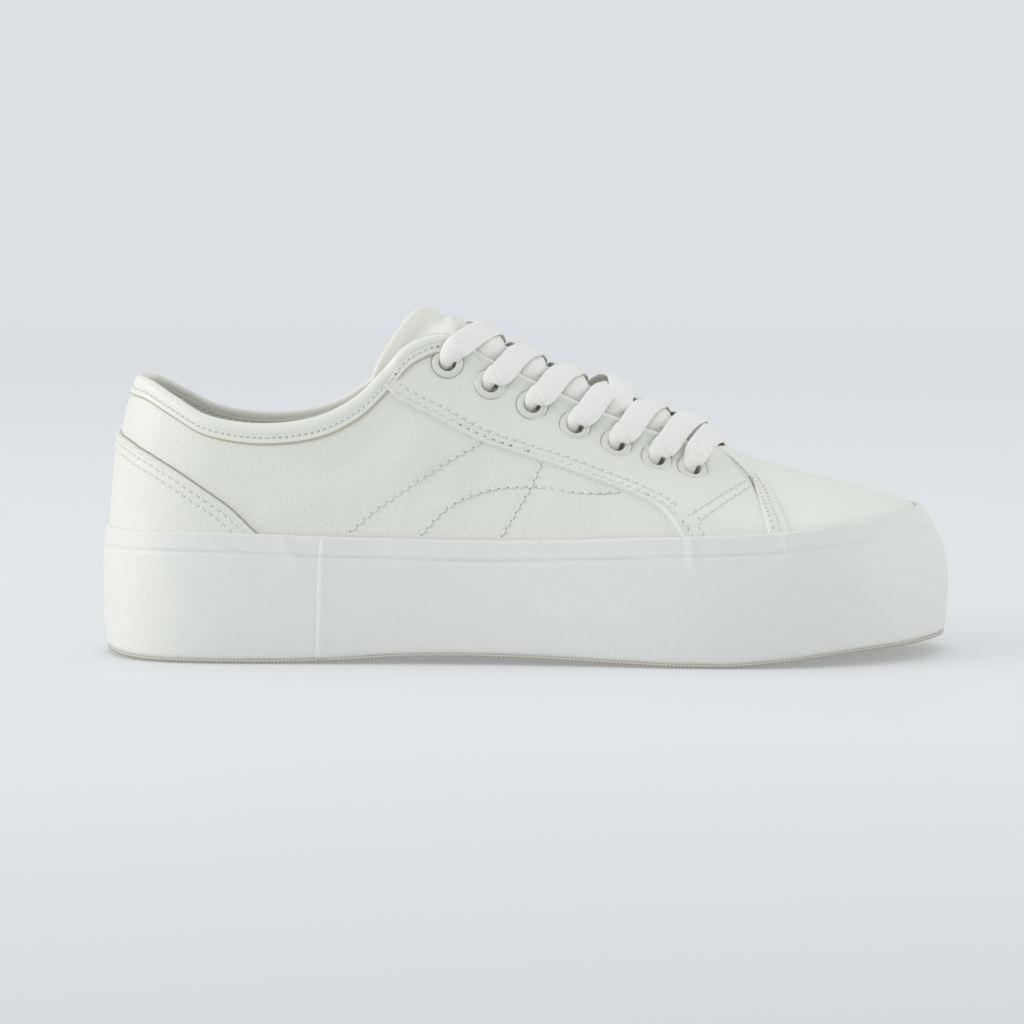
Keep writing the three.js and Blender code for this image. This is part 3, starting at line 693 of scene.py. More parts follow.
# ---- Stitches ----
class Stitches:
    """Rows of thread stitches and needle holes, gathered into one mesh each; the holes are coloured dark as
    painted shade.
    """

    def __init__(self):
        self.threads, self.holes = [], []
        arc = np.linspace(-1, 1, 6)
        turn = circle(6)
        self.arc = arc
        self.round = np.stack([np.cos(turn), np.sin(turn)], 1)

    def row(self, curve, pitch, out, length=0.7, radius=0.30, hole=0.36, sink=0.25, face=1):
        """Stitches along a (station, place) curve; out is the leather's height above the skin, a number or
        a function of station and place, and face is -1 on the inside."""
        line = points_of(curve)
        total = np.linalg.norm(np.diff(line, axis=0), axis=1).sum()
        count = max(2, int(round(total / pitch)))
        ends = even(curve, count + 1, line)
        middles = (ends[1:] + ends[:-1]) / 2
        for at in middles:
            self.thread(at, ends, pitch, out(*at) if callable(out) else out, length, radius, sink, face)
        for s, v in ends:
            n = skin_normal(s, v) * face
            height = out(s, v) if callable(out) else out
            self.hole(off_skin(s, v, height + 0.03 * face), n, hole)

    def thread(self, at, ends, pitch, out, length, radius, sink, face):
        s, v = at
        n = skin_normal(s, v) * face
        k = int(np.argmin(np.abs(ends[:, 0] - s) + np.abs(ends[:, 1] - v)))
        a, b = ends[max(0, k - 1)], ends[min(len(ends) - 1, k + 1)]
        way = unit(skin(b[0], b[1]) - skin(a[0], a[1]))
        way = unit(way - n * (way @ n))
        side = np.cross(n, way)
        middle = off_skin(s, v, out)
        half = pitch * length / 2
        rings = []
        for t in self.arc:
            thick = radius * math.sqrt(max(0.12, 1 - 0.85 * t * t))
            rise = radius * 0.55 - sink * t * t
            centre = middle + way * t * half + n * rise
            rings.append(centre + self.round[:, :1] * side * thick + self.round[:, 1:] * n * thick)
        self.threads.append(tube(np.array(rings), flip=True))

    def hole(self, middle, n, radius):
        side = unit(np.cross(n, (0.3, 0.2, 0.9)))
        other = np.cross(n, side)
        turn = circle(8)
        rim = middle + np.outer(np.cos(turn), side) * radius + np.outer(np.sin(turn), other) * radius
        inner = middle - n * 0.12 + (rim - middle) * 0.55
        points = np.concatenate([rim - n * 0.08, rim * 0.5 + inner * 0.5 + n * 0.06, inner])
        faces = [(i, (i + 1) % 8, 8 + (i + 1) % 8, 8 + i) for i in range(8)]
        faces += [(8 + i, 8 + (i + 1) % 8, 16 + (i + 1) % 8, 16 + i) for i in range(8)]
        faces += [(16, 17, 18, 19), (16, 19, 20, 21), (16, 21, 22, 23)]
        self.holes.append((points, np.array(faces)))


stitches = Stitches()

# ---- Overlay sheets ----
BORDER = np.array((0.0, 0.10, 0.28, 0.55, 0.95, 1.5, 2.1, 2.8))


def border_height(d, thick, bead=0.22, dip=0.12):
    """Height of a turned leather edge at a distance from its border."""
    edge = quarter_round(d, 0.55)
    return thick * edge + bead * np.exp(-((d - 0.9) / 0.55) ** 2) - dip * np.exp(-((d - 2.0) / 0.5) ** 2)


def overlay(low, high, thick, middle=26, free=(True, True), ends=(True, True), sunk=0.25, rim=None, bead=0.22,
            lift=None):
    """A leather sheet between two curves of (station, place). free says which long borders are turned down,
    rim how deep its high border reaches, and lift what it lies on at each (row, share of the way across)."""
    a, b = points_of(low), points_of(high)
    width = np.linalg.norm(b - a, axis=1)[:, None]
    fit = np.minimum(1, width / (2.4 * BORDER[-1]))
    first, last = BORDER * fit / width, 1 - BORDER[::-1] * fit / width
    share = np.linspace(0, 1, middle + 2)[1:-1]
    inside = first[:, -1:] + (last[:, :1] - first[:, -1:]) * share
    w = np.concatenate([first, inside, last], 1)
    s = low[:, :1] * (1 - w) + high[:, :1] * w
    v = low[:, 1:] * (1 - w) + high[:, 1:] * w
    height = np.full(w.shape, float(thick))
    if free[0]:
        height = height - thick + border_height(w * width, thick, bead)
    if free[1]:
        height = height - thick + border_height((1 - w) * width, thick, bead)
    run = run_along((a + b) / 2)[:, None]
    if ends[0]:
        height = np.minimum(height, border_height(run, thick, 0, 0))
    if ends[1]:
        height = np.minimum(height, border_height(run[-1] - run, thick, 0, 0))
    base = skin(s, v)
    press = crease_depth(base) * 0.7 + dimple(base)
    if lift is not None:
        press = press - lift(np.linspace(0, 1, len(w))[:, None], w)
    outer = off_skin(s, v, np.maximum(height, -0.05) - press)
    under = np.full(w.shape, -sunk)
    if rim is not None:
        under[:, -1] = -rim
    return outer, off_skin(s, v, under - press)


def sheet_forms(low, high, thick, **options):
    """The overlay on the lateral side and its twin on the medial side."""
    forms = [slab(*overlay(low, high, thick, **options))]
    forms.append(slab(*overlay(other_side(low), other_side(high), thick, **options), flip=True))
    return forms


def resting(forms, extra=0.02):
    """The height above the skin of the sheets' outer faces, as a function of station and place."""
    outer = np.concatenate([points[:len(points) // 2] for points, _ in forms])

    def height(s, v):
        n = skin_normal(s, v)
        gap = outer - skin(s, v)
        up = gap @ n
        off = ((gap - up[:, None] * n) ** 2).sum(1)
        return float(up[np.where(np.abs(up) < 5, off, 1e9).argmin()]) + extra

    return height


# ---- The eyestay, the toe strip and the heel counter ----
STAY_THICK = 1.15
STAY_BEAD = 0.4
STRIP_THICK, COUNTER_THICK = 0.75, 1.35
THROAT_FROM, THROAT_TO = 8.0, 17.2
UNDER_TRIM, TRIM_OFF = 4.2, 10.1
ROWS = 300


def run_of(s, v):
    """A (station, place) curve through stations at one place."""
    return np.stack(np.broadcast_arrays(np.asarray(s, float), np.asarray(v, float)), 1)


def evened(curve, count=ROWS):
    return even(curve, count, points_of(curve))


stay_low = on_skin(STAY_LOW)
stay_front = on_skin(STAY_FRONT)
throat_s = np.linspace(THROAT_FROM, THROAT_TO, 160)
throat_v = below(throat_s, UNDER_TRIM * (1 - step((throat_s - TRIM_OFF) / 0.35)))
throat = run_of(throat_s, throat_v)
sole_run = np.linspace(stay_low[-1], stay_front[-1], 40)[1:]
low_curve = evened(np.concatenate([stay_low, sole_run]))
high_curve = evened(np.concatenate([throat, stay_front]))
rims = np.where(high_curve[:, 1] > 0.9995, WALL + 0.1, 0.25)
stay_forms = sheet_forms(low_curve, high_curve, STAY_THICK, middle=44, rim=rims, ends=(False, False),
                         bead=STAY_BEAD)
piece("eyestay", stay_forms, QUARTER, drop=over_hole)

strip_back, strip_front = on_skin(STRIP_BACK, 90), on_skin(STRIP_FRONT, 90)
strip_forms = sheet_forms(strip_back, strip_front, STRIP_THICK, middle=10, ends=(True, False), bead=0.38,
                          lift=lambda t, w: step(0.35 + t * 4) * (1 - step((w - 0.1) / 0.75)))
piece("toe_strip", strip_forms, VAMP)


def place_at_height(s, height):
    """The place where the section at each station reaches a height."""
    low, high = np.full(s.shape, TUCK), np.ones(s.shape)
    for _ in range(24):
        middle = (low + high) / 2
        under = skin(s, middle)[..., 2] < height
        low, high = np.where(under, middle, low), np.where(under, high, middle)
    return low


counter_s = np.linspace(-COUNTER_EDGE[-1][0], COUNTER_EDGE[-1][0], 321)
edge_heights = smooth(COUNTER_EDGE, 200)
counter_heights = np.interp(np.abs(counter_s), edge_heights[:, 0], edge_heights[:, 1])
counter_low = run_of(counter_s, 0.07)
counter_high = run_of(counter_s, place_at_height(counter_s, counter_heights))
counter = overlay(counter_low, counter_high, COUNTER_THICK, middle=30, free=(False, True),
                  ends=(False, False), bead=0.45)
piece("heel_counter_leather", [slab(*counter)], QUARTER, ["heel_counter"])

# ---- Stitch rows ----
STITCH_PITCH = {"eyestay": 3.0, "arms": 2.9, "toe_strip": 2.4, "vamp": 2.4, "quarter": 3.0, "counter": 2.7,
                "collar": 2.1, "lining": 2.6}
# Rows over the eyestay's lower border: (distance from it, height at which the row ends).
STAY_ROWS = ((1.9, 48.0), (4.2, 51.0))
COUNTER_ROWS = (2.8, 5.2)
COLLAR_END = 10.3
STITCH_DROP = 4.8
collar_s = np.linspace(-COLLAR_END, COLLAR_END, 700)
on_stay = resting(stay_forms)
for curve in both_sides(stay_low[6:]):
    for distance, lowest in STAY_ROWS:
        line = shifted_up(curve, distance)
        stitches.row(line[points_of(line)[:, 2] > lowest], STITCH_PITCH["eyestay"], on_stay, hole=0.40)
for outline_xz in (ARM, ARM_LOW, STEM, STEM_FRONT):
    for curve in both_sides(on_skin(outline_xz, 60)):
        stitches.row(curve, STITCH_PITCH["arms"], on_stay, hole=0.38)
for outline_xz in STRIP_ROWS:
    for curve in both_sides(on_skin(outline_xz, 80)):
        stitches.row(curve, STITCH_PITCH["toe_strip"], resting(strip_forms), radius=0.26, hole=0.34)
for curve in both_sides(stay_front[:60]):
    stitches.row(shifted_up(curve, 2.2), STITCH_PITCH["vamp"], 0.05, hole=0.26)
for outline_xz in DECOR:
    for curve in both_sides(on_skin(outline_xz)):
        stitches.row(curve, STITCH_PITCH["quarter"], 0.03, length=0.78, radius=0.33, hole=0.20)
for distance in COUNTER_ROWS:
    line = shifted(counter_high, -distance)
    shown = line[:, 1] > place_at_height(line[:, 0], top_at(line[:, 0]) - 0.5)
    stitches.row(line[shown], STITCH_PITCH["counter"], COUNTER_THICK + 0.01, hole=0.30)


def stay_lift(s):
    """The collar's trim lies on the eyestay near its corner."""
    return STAY_THICK * step((np.abs(s) - 8.0) / 0.5)


for a, b in ((-10.2, -8.3), (-8.3, 8.3), (8.3, 10.2)):
    part = np.linspace(a, b, 400)
    lift = float(stay_lift(np.array((a + b) / 2)))
    collar_row = run_of(part, below(part, STITCH_DROP))
    stitches.row(collar_row, STITCH_PITCH["collar"], 0.45 + lift, radius=0.22, hole=0.34)

# ---- Upper: quarter and vamp leather, its collar roll and trim, and the lining ----
STATION_COUNT = 640
ring_s = np.arange(STATION_COUNT) * ROUND / STATION_COUNT
outer_v = np.linspace(0.03, 1.0, 92)
seam_lines = np.concatenate([points_of(c) for o in DECOR for c in both_sides(on_skin(o))])
base = skin(ring_s[:, None], outer_v[None, :])
seam_press = 0.12 * np.exp(-(distance_to(seam_lines, base) / 1.1) ** 2)
skin_out = -crease_depth(base) - seam_press - dimple(base) * (base[..., 0] < 66)
outer_part = off_skin(ring_s[:, None], outer_v[None, :], skin_out)
turned = [off_skin(ring_s, 1.0, -d) for d in (0.5, 1.1, 1.7)]
inner_part = [off_skin(ring_s, below(ring_s, d), -WALL + 0.35) for d in (0.3, 2.0, 4.0, 6.0)]
whole = np.concatenate([outer_part, np.stack(turned + inner_part, 1)], 1)
piece("upper_leather", [grid(whole, closed=True)], QUARTER, ["upper"], drop=over_hole,
      second=(VAMP, lambda p: p[:, 0] > 62))


INNER_ROW = 3.9


def pad(s, d):
    """How thick the collar's padding stands inside, at a distance under the edge."""
    reach = step((9.4 - np.abs(((s + LAST) % ROUND) - LAST)) / 1.4)
    swell = 0.9 * step((d - 2.2) / 0.7) + 1.3 * np.exp(-((d - 9.5) / 5.0) ** 2)
    return reach * (swell * (1 - step((d - 22) / 12)) - 0.35 * np.exp(-((d - INNER_ROW) / 0.6) ** 2))


lining_s = np.arange(420) * ROUND / 420
depths = np.concatenate([np.linspace(0.4, 20, 46), np.linspace(21.5, 78, 38)])
section_lines = bezier([p[:, None] for p in section(lining_s)], np.linspace(0, 1, 41))
longest = np.linalg.norm(np.diff(section_lines, axis=1), axis=-1).sum(1)[:, None]
reach = np.minimum(depths[None, :], longest)
lining_v = below(lining_s[:, None], reach)
tail = np.clip((depths[None, :] - longest) / 14.0, 0, 1)
lining_v = np.where(tail > 0, TUCK * (1 - tail) + 0.004, lining_v)
lining_out = -WALL - pad(lining_s[:, None], depths[None, :])
lining_grid = off_skin(lining_s[:, None], lining_v, lining_out)
piece("collar_and_quarter_lining", [grid(lining_grid, closed=True)], LINING, drop=over_hole)

ROLL_DROP, ROLL_HALF = 2.25, 2.45
turn = circle(24)
ends = np.sqrt(step((COLLAR_END - np.abs(collar_s)) / 0.3)) * 0.9 + 0.1
tall = ROLL_HALF * (1 - 0.22 * step((np.abs(collar_s) - 8.2) / 1.6)) * ends
wide_out = 0.85 + 0.9 * stay_lift(collar_s)
wide = (WALL + 0.75 + wide_out) / 2 * ends
outward = skin_normal(collar_s, 0.985)
upward = unit(skin(collar_s, 1.0) - skin(collar_s, 0.96))
middle = skin(collar_s, below(collar_s, ROLL_DROP)) + outward * (wide_out - wide)[:, None]
roll = (middle[:, None] + outward[:, None] * (wide[:, None] * rounded(np.cos(turn), 0.85))[..., None]
        + upward[:, None] * (tall[:, None] * rounded(np.sin(turn), 0.9))[..., None])
piece("collar_roll", [tube(roll)], VAMP)

trim_low = run_of(collar_s, below(collar_s, 6.7))
trim_high = run_of(collar_s, below(collar_s, 3.6))
trim = overlay(trim_low, trim_high, 0.5, middle=4, free=(True, False), bead=0.12,
               lift=lambda t, w: stay_lift(collar_s)[:, None])
piece("collar_trim", [slab(*trim)], VAMP)


def cord_along(curve, out, radius, sides=8):
    """A thin round line on the skin."""
    middle = off_skin(curve[:, 0], curve[:, 1], out)
    n = skin_normal(curve[:, 0], curve[:, 1])
    side = np.cross(n, unit(np.gradient(middle, axis=0)))
    a = circle(sides)
    out_way = n[:, None] * np.cos(a)[None, :, None] + side[:, None] * np.sin(a)[None, :, None]
    return tube(middle[:, None] + out_way * radius)


# Cords of raw-edge colour with painted gap shade: along the eyestay's front edge, under the collar trim and
# along the throat.
raw_edge_shade_forms = []
# A painted shadow: a thin dark cord just above the heel counter's raised edge, where it shows over the
# foxing.
shown = counter_high[:, 1] > place_at_height(counter_high[:, 0], top_at(counter_high[:, 0]) - 0.8)
counter_shadow_line = cord_along(shifted(counter_high, 0.12)[shown], 0.05, 0.24)
for curve in both_sides(stay_front[:62]):
    raw_edge_shade_forms.append(cord_along(shifted_up(curve, 0.15), 0.25, 0.34))
part = np.linspace(-10.15, 10.15, 900)
raw_out = 0.10 + 0.2 * step((np.abs(part) - 3.5) / 3) + stay_lift(part)
raw_edge_shade_forms.append(cord_along(run_of(part, below(part, 6.85)), raw_out, 0.26))
for a, b in ((10.3, 17.3), (-17.3, -10.3)):
    part = np.linspace(a, b, 260)
    raw_edge_shade_forms.append(cord_along(run_of(part % ROUND, 1.0), -0.55, 0.42))
piece("raw_edges_and_gap_shade", raw_edge_shade_forms, RAW_EDGE_SHADE)
piece("counter_edge_shadow_line", [counter_shadow_line], EDGE_SHADOW)

for a, b in ((ROUND - 8.6, ROUND - 0.6), (0.6, 8.6)):
    part = np.linspace(a, b, 300)
    height = -WALL - float(pad(np.array((a + b) / 2), INNER_ROW)) - 0.03
    inner_row = run_of(part, below(part, INNER_ROW))
    stitches.row(inner_row, STITCH_PITCH["lining"], height, radius=0.26, hole=0.34, face=-1)
piece("stitching", stitches.threads, THREAD)
# The needle holes, dark as painted shade.
piece("needle_hole_shadows", stitches.holes, NEEDLE_HOLE_SHADE)

# ---- Sole ----
SEAM_LEAN, SEAM_WAVE = 0.085, 0.012


def station_at(x):
    low, high = 0.0, float(LAST)
    for _ in range(40):
        middle = (low + high) / 2
        if outline(np.array(middle))[0] < x:
            low = middle
        else:
            high = middle
    return low


SEAM = station_at(SEAM_X)
LINE_DROP = 6.6
# Soft ridges: (x, width, slant in degrees, height).
RIDGES = ((-80.0, 2.4, -32, 0.60), (52.5, 1.6, -8, 0.62), (83.0, 1.7, -12, 0.70))


def foxing_relief(s, z, p):
    """What stands on the foxing: a fine line under its top, and soft ridges over what lies beneath it."""
    top = top_at(s)
    drop = top - z
    relief = -0.38 * np.exp(-((drop - LINE_DROP) / 0.34) ** 2) + 0.10 * step((LINE_DROP - drop) / 0.6)
    for x, width, slant, height in RIDGES:
        run = p[..., 0] - x - drop * math.tan(math.radians(-slant))
        relief = relief + height * np.exp(-(run / width) ** 2) * (1 - step((drop - 4) / 14))
    x = p[..., 0]
    wave = 0.10 * np.sin(x * 0.11 + 1.3) * np.sin(z * 0.16 + x * 0.05) + 0.07 * np.sin(x * 0.31 + z * 0.2)
    return relief + wave


def foxing_form(start, end, lap):
    """The foxing from one station to another; lap is how far its ends stand proud."""
    s = np.linspace(start, end, int(abs(end - start) * 19))
    height = np.concatenate([np.linspace(0, 0.80, 26), np.linspace(0.82, 0.985, 14)])
    low = bottom_at(s)[:, None] + TREAD + 0.05
    z = low + (top_at(s)[:, None] - low) * height
    reach = np.minimum(s - start, end - s)[:, None]
    side = np.where(s < (start + end) / 2, 1, -1)[:, None]
    level = (z - low) / (top_at(s)[:, None] - low)
    lean = (SEAM_LEAN * (level - 0.5) + SEAM_WAVE * np.sin(level * 7.0)) * np.exp(-reach / 0.6)
    s_leant = s[:, None] + side * lean * (1 if lap > 0 else -1)
    p = sidewall(s_leant, z, 0.0)
    run = run_along(outline(s))
    from_end = np.minimum(run, run[-1] - run)[:, None]
    round_end = 1 - quarter_round(from_end, 0.8)
    lips = lap * np.exp(-from_end / 5.0) - 0.9 * round_end * (lap > 0)
    out = foxing_relief(s_leant, z, p) + lips
    foot = np.clip((z - low) / 0.5, 0, 1)
    outer = sidewall(s_leant, z, -out + 0.3 * (1 - foot) ** 2)
    top = top_at(s)
    rim = [sidewall(s, top - down, depth) for down, depth in (
        (0.25, 0.12 - out[:, -1]), (0.02, 0.45 - out[:, -1]), (0, FOXING * 0.65), (0.15, FOXING + 0.28),
        (0.9, FOXING + 0.32), (5.0, FOXING))]
    foot_rim = sidewall(s, low[:, 0], FOXING)
    return grid(np.concatenate([foot_rim[:, None], outer, np.stack(rim, 1)], 1))


front_wrap = foxing_form(SEAM + 0.004, ROUND - SEAM - 0.004, 0.7)
piece("foxing_front_wrap", [front_wrap], FOX, ["foxing_front"])
piece("foxing_heel_wrap", [foxing_form(-SEAM - 0.02, SEAM + 0.02, 0.0)], FOX, ["foxing_heel"])

TOOTH = 1.25


# The cross grooves' pitch, a groove's x and their depth, the stretches of x that have them, and the
# height of the fine ribs elsewhere.
GROOVE_PITCH, GROOVE_AT, GROOVE_DEPTH = 8.0, -112.0, 1.15
GROOVE_FIELDS = ((-114, -78), (36, 104))
RIB = 0.22


def across_sole(x, z, depth, w):
    """Points at height z between the two sidewalls, w of the way across, and how far in each lies."""
    lateral, medial = sidewall(x, z, depth), sidewall(ROUND - x, z, depth)
    inset = np.minimum(w, 1 - w) * np.linalg.norm(medial - lateral, axis=1)[:, None]
    return lateral[:, None] * (1 - w[..., None]) + medial[:, None] * w[..., None], inset


def outsole_forms():
    fine = np.linspace(0, ROUND, 6001)[:-1]
    run = run_along(outline(fine))
    teeth = int(run[-1] / TOOTH)
    s = np.interp(np.arange(teeth * 4) * run[-1] / (teeth * 4), run, fine)
    notch = np.tile((0.0, 0.0, 1.0, 1.0), teeth)
    low = bottom_at(s)
    rings = [sidewall(s, low + up, depth) for up, depth in (
        (0, 0.9 * notch + 0.35), (0.12, 0.85 * notch + 0.1), (0.62, 0.65 * notch), (0.74, 0.0),
        (TREAD, 0.12), (TREAD, 2.2))]
    edge = grid(np.stack(rings, 1), closed=True)
    x = np.linspace(0.0, LAST, 520)
    w = np.linspace(0, 1, 60)[None, :]
    p, inset = across_sole(x, bottom_at(x), 1.2, w)
    x = p[..., 0]
    phase = (x - GROOVE_AT + GROOVE_PITCH / 2) % GROOVE_PITCH - GROOVE_PITCH / 2
    field = np.any([(x > start) & (x < end) for start, end in GROOVE_FIELDS], axis=0)
    groove = GROOVE_DEPTH * (1 - step((np.abs(phase) - 0.9) / 0.5)) * field * step((inset - 6.5) / 1.0)
    ribbed = np.sin(x * 2.2 + np.abs(w - 0.5) * 30) > 0
    p[..., 2] += groove + RIB * (1 - field) * ribbed * step((inset - 4) / 1.0)
    return [edge, grid(p, flip=True)]


piece("outsole_tread", outsole_forms(), SOLE_RUBBER, ["outsole"])
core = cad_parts["midsole"]
core.data.materials.clear()
core.data.materials.append(FOAM)


def insole_form():
    x = np.linspace(0.15, LAST - 0.15, 150)
    w = np.linspace(0, 1, 50)[None, :]
    depth = FOXING + GAP + WALL + GAP
    p, side = across_sole(x, deck_at(x) + GAP, depth, w)
    top = p.copy()
    round_edge = quarter_round(side, 1.6)
    cup = 1.4 * np.exp(-side / 7.0)
    top[..., 2] += INSOLE * (0.35 + 0.65 * round_edge) + cup * round_edge
    return slab(top, p)


piece("insole_sheet", [insole_form()], LINING, ["insole"])

# ---- Tongue ----
TONGUE_STATIONS = (19.6, 18.4, 17.2, 16.0, 15.0, 14.0, 13.0, 12.0, 11.0, 10.3)
ARCH_STEPS = np.array((0.12, 0.3, 0.5, 0.7, 0.88))
LEG = (9.0, 4.5, 0.6)
TONGUE_TOP = ((-27.0, 111.4, 21.5, 21, 14), (-31.0, 113.9, 21.0, 24, 17.5), (-34.2, 115.6, 20.5, 26, 19))
TONGUE_BACK = 0.65
CORNER_CUT = 0.032


def leg_scale(s):
    return 1 - 0.15 * (s - 15) if s > 15 else 1.0


def tongue_section(s):
    def leg(station):
        at = np.full(3, float(station))
        return off_skin(at, below(at, np.array(LEG) * leg_scale(s)), -WALL - TONGUE_GAP)

    left, right = leg(s), leg(ROUND - s)[::-1]
    reach = min(ARCH, ARCH_SPAN * float(np.linalg.norm(left[2] - right[0])))

    def lift(a, b):
        way = (a - b) * (0, 1, 1)
        return a + way / np.linalg.norm(way) * reach

    return left, right, (left[2], lift(left[2], left[1]), lift(right[0], right[1]), right[0])


def tongue_row(s):
    left, right, arch = tongue_section(s)
    return np.concatenate([left, bezier(arch, ARCH_STEPS), right])


def tongue_top_row(x, z, half, drop, back):
    a = np.linspace(-0.5, 0.5, 11) * math.pi
    fall = 1 - np.cos(a)
    return stack(x - back * fall ** TONGUE_BACK, half * np.sin(a), z - drop * fall)


def refine(points, count):
    """points[i] read at count even steps along a smooth line through them."""
    t = np.linspace(0, len(points) - 1, count)
    k = np.minimum(np.floor(t).astype(int), len(points) - 2)
    u = (t - k).reshape(-1, *([1] * (points.ndim - 1)))
    padded = np.concatenate([2 * points[:1] - points[1:2], points, 2 * points[-1:] - points[-2:-1]])
    a, b, c, d = padded[k], padded[k + 1], padded[k + 2], padded[k + 3]
    return b + 0.5 * u * (c - a + (2 * a - 5 * b + 4 * c - d) * u + (3 * b - a - 3 * c + d) * u * u)


def tongue_forms():
    rows = np.array([tongue_row(s) for s in TONGUE_STATIONS] + [tongue_top_row(*r) for r in TONGUE_TOP])
    face = refine(refine(rows, 190).swapaxes(0, 1), 110).swapaxes(0, 1)
    sideways = np.abs(np.linspace(-1, 1, face.shape[1]))
    shorter = 1 - CORNER_CUT * np.clip((sideways - 0.78) / 0.22, 0, 1) ** 2
    steps = np.arange(face.shape[0])
    face = np.stack([np.stack([np.interp(steps * k, steps, face[:, j, a]) for a in range(3)], 1)
                     for j, k in enumerate(shorter)], 1)
    ahead, right = np.gradient(face, axis=0), np.gradient(face, axis=1)
    inside = unit(np.cross(ahead, right))
    i = np.linspace(0, len(rows) - 1, face.shape[0])[:, None]
    j = np.linspace(0, 1, face.shape[1])[None, :]
    thick = 1.8 + 2.7 * np.sin(np.pi * j) * np.minimum(1, i / 4)
    across_run = np.cumsum(np.linalg.norm(right, axis=-1), axis=1)
    side = np.minimum(across_run, across_run[:, -1:] - across_run)
    steps_up = np.linalg.norm(ahead, axis=-1)
    from_top = np.cumsum(steps_up[::-1], axis=0)[::-1] - steps_up[-1]
    border = np.minimum(side, from_top)
    edge = quarter_round(border, 1.7)
    folds = 0.22 * np.sin(face[..., 0] * 0.9 + face[..., 1] * 0.25) * np.exp(-((face[..., 0] + 24) / 7) ** 2)
    folds = folds * np.exp(-((face[..., 1] + 6) / 9) ** 2)
    middle, half = face + inside * (thick / 2)[..., None], (thick / 2 * edge)[..., None]
    return [slab(middle - inside * (half + (folds * edge)[..., None]), middle + inside * half, flip=True)]


tongue = piece("tongue_padded", tongue_forms(), TONGUE_LEATHER, ["tongue"])

# ---- Eyelets ----
# The eyelet's profile: (radius, height over the skin).
EYELET_PROFILE = (
    (2.80, -WALL - 0.6), (2.84, -1.0), (2.86, 0.9), (2.98, 1.34), (3.25, 1.56), (3.65, 1.64), (4.1, 1.60),
    (4.55, 1.46), (4.95, 1.20), (5.18, 0.95), (5.22, 0.62), (5.0, 0.45), (3.6, 0.4), (3.5, -WALL - 0.6),
)
# The painted shadow ring round each flange: (radius, height over the skin, thickness).
EYELET_SHADOW_RING = (5.30, 0.90, 0.13)


def round_holes(section_of):
    """One closed form round each eyelet hole; section_of gives its points from the ring of directions."""
    a = circle(56)
    forms = []
    for middle, outward, uphill in HOLES:
        ring = np.cos(a)[:, None] * uphill + np.sin(a)[:, None] * np.cross(outward, uphill)
        forms.append(section_of(middle, outward, ring))
    return forms


def eyelet_form(middle, outward, ring):
    points = np.stack([middle + ring * r + outward * h for r, h in EYELET_PROFILE], 1)
    return grid(points, closed=True)


def eyelet_shadow_form(middle, outward, ring):
    """A painted shadow: a fine dark ring round the eyelet's flange, where it meets the leather."""
    b = circle(6)
    radius, height, thick = EYELET_SHADOW_RING
    points = (middle + outward * height + (ring * radius)[:, None]
              + (ring[:, None] * np.cos(b)[None, :, None] + outward * np.sin(b)[None, :, None]) * thick)
    return tube(points, closed=True)


eyelet_names = [f"eyelet_{side}_{i}" for side in ("lateral", "medial") for i in range(1, 8)]
piece("eyelets", round_holes(eyelet_form), ENAMEL, eyelet_names)
# Painted shadow rings, one round each eyelet.
piece("eyelet_shadow_rings", round_holes(eyelet_shadow_form), EYELET_SHADOW)

# ---- Lace ----
LACE_WIDTH, LACE_THICK = 8.6, 1.4
LACE_STEPS, LACE_SIDES = 90, 28
LEAST_CURL = 0.002


def station_for(x_at, x, s):
    """The station at which x_at gives x."""
    for _ in range(4):
        slope = (x_at(s + 0.05) - x_at(s - 0.05)) / 0.1
        s = s + float(np.clip((x - x_at(s)) / slope, -1, 1))
    return s


# The way up through an eyelet: (share of the hole's distance, extra distance, height, x shift, width,
# thickness, curl).
RISE = (
    (1.0, 1.5, -WALL - 2.5, -0.3, 4.8, 1.9, 1.0), (1.0, 0.9, -0.6, -0.2, 5.2, 1.8, 0.9),
    (1.0, -1.0, 2.0, 0.3, 6.6, 1.6, 0.62), (0.62, 0.0, 3.0, 2.2, 8.0, 1.4, 0.34),
    (0.28, 0.0, 2.9, 4.6, 8.5, 1.3, 0.2),
)
# Over the tongue: (share of the way across, height, share of mid_lift, x shift).
CROSSING = ((0.20, 2.5, 0.4, 8.2), (0.40, 2.1, 1.0, 11.6), (0.56, 1.8, 1.0, 13.4), (0.74, 1.5, 0.5, 14.4))
BAR_LEAN = 0.62


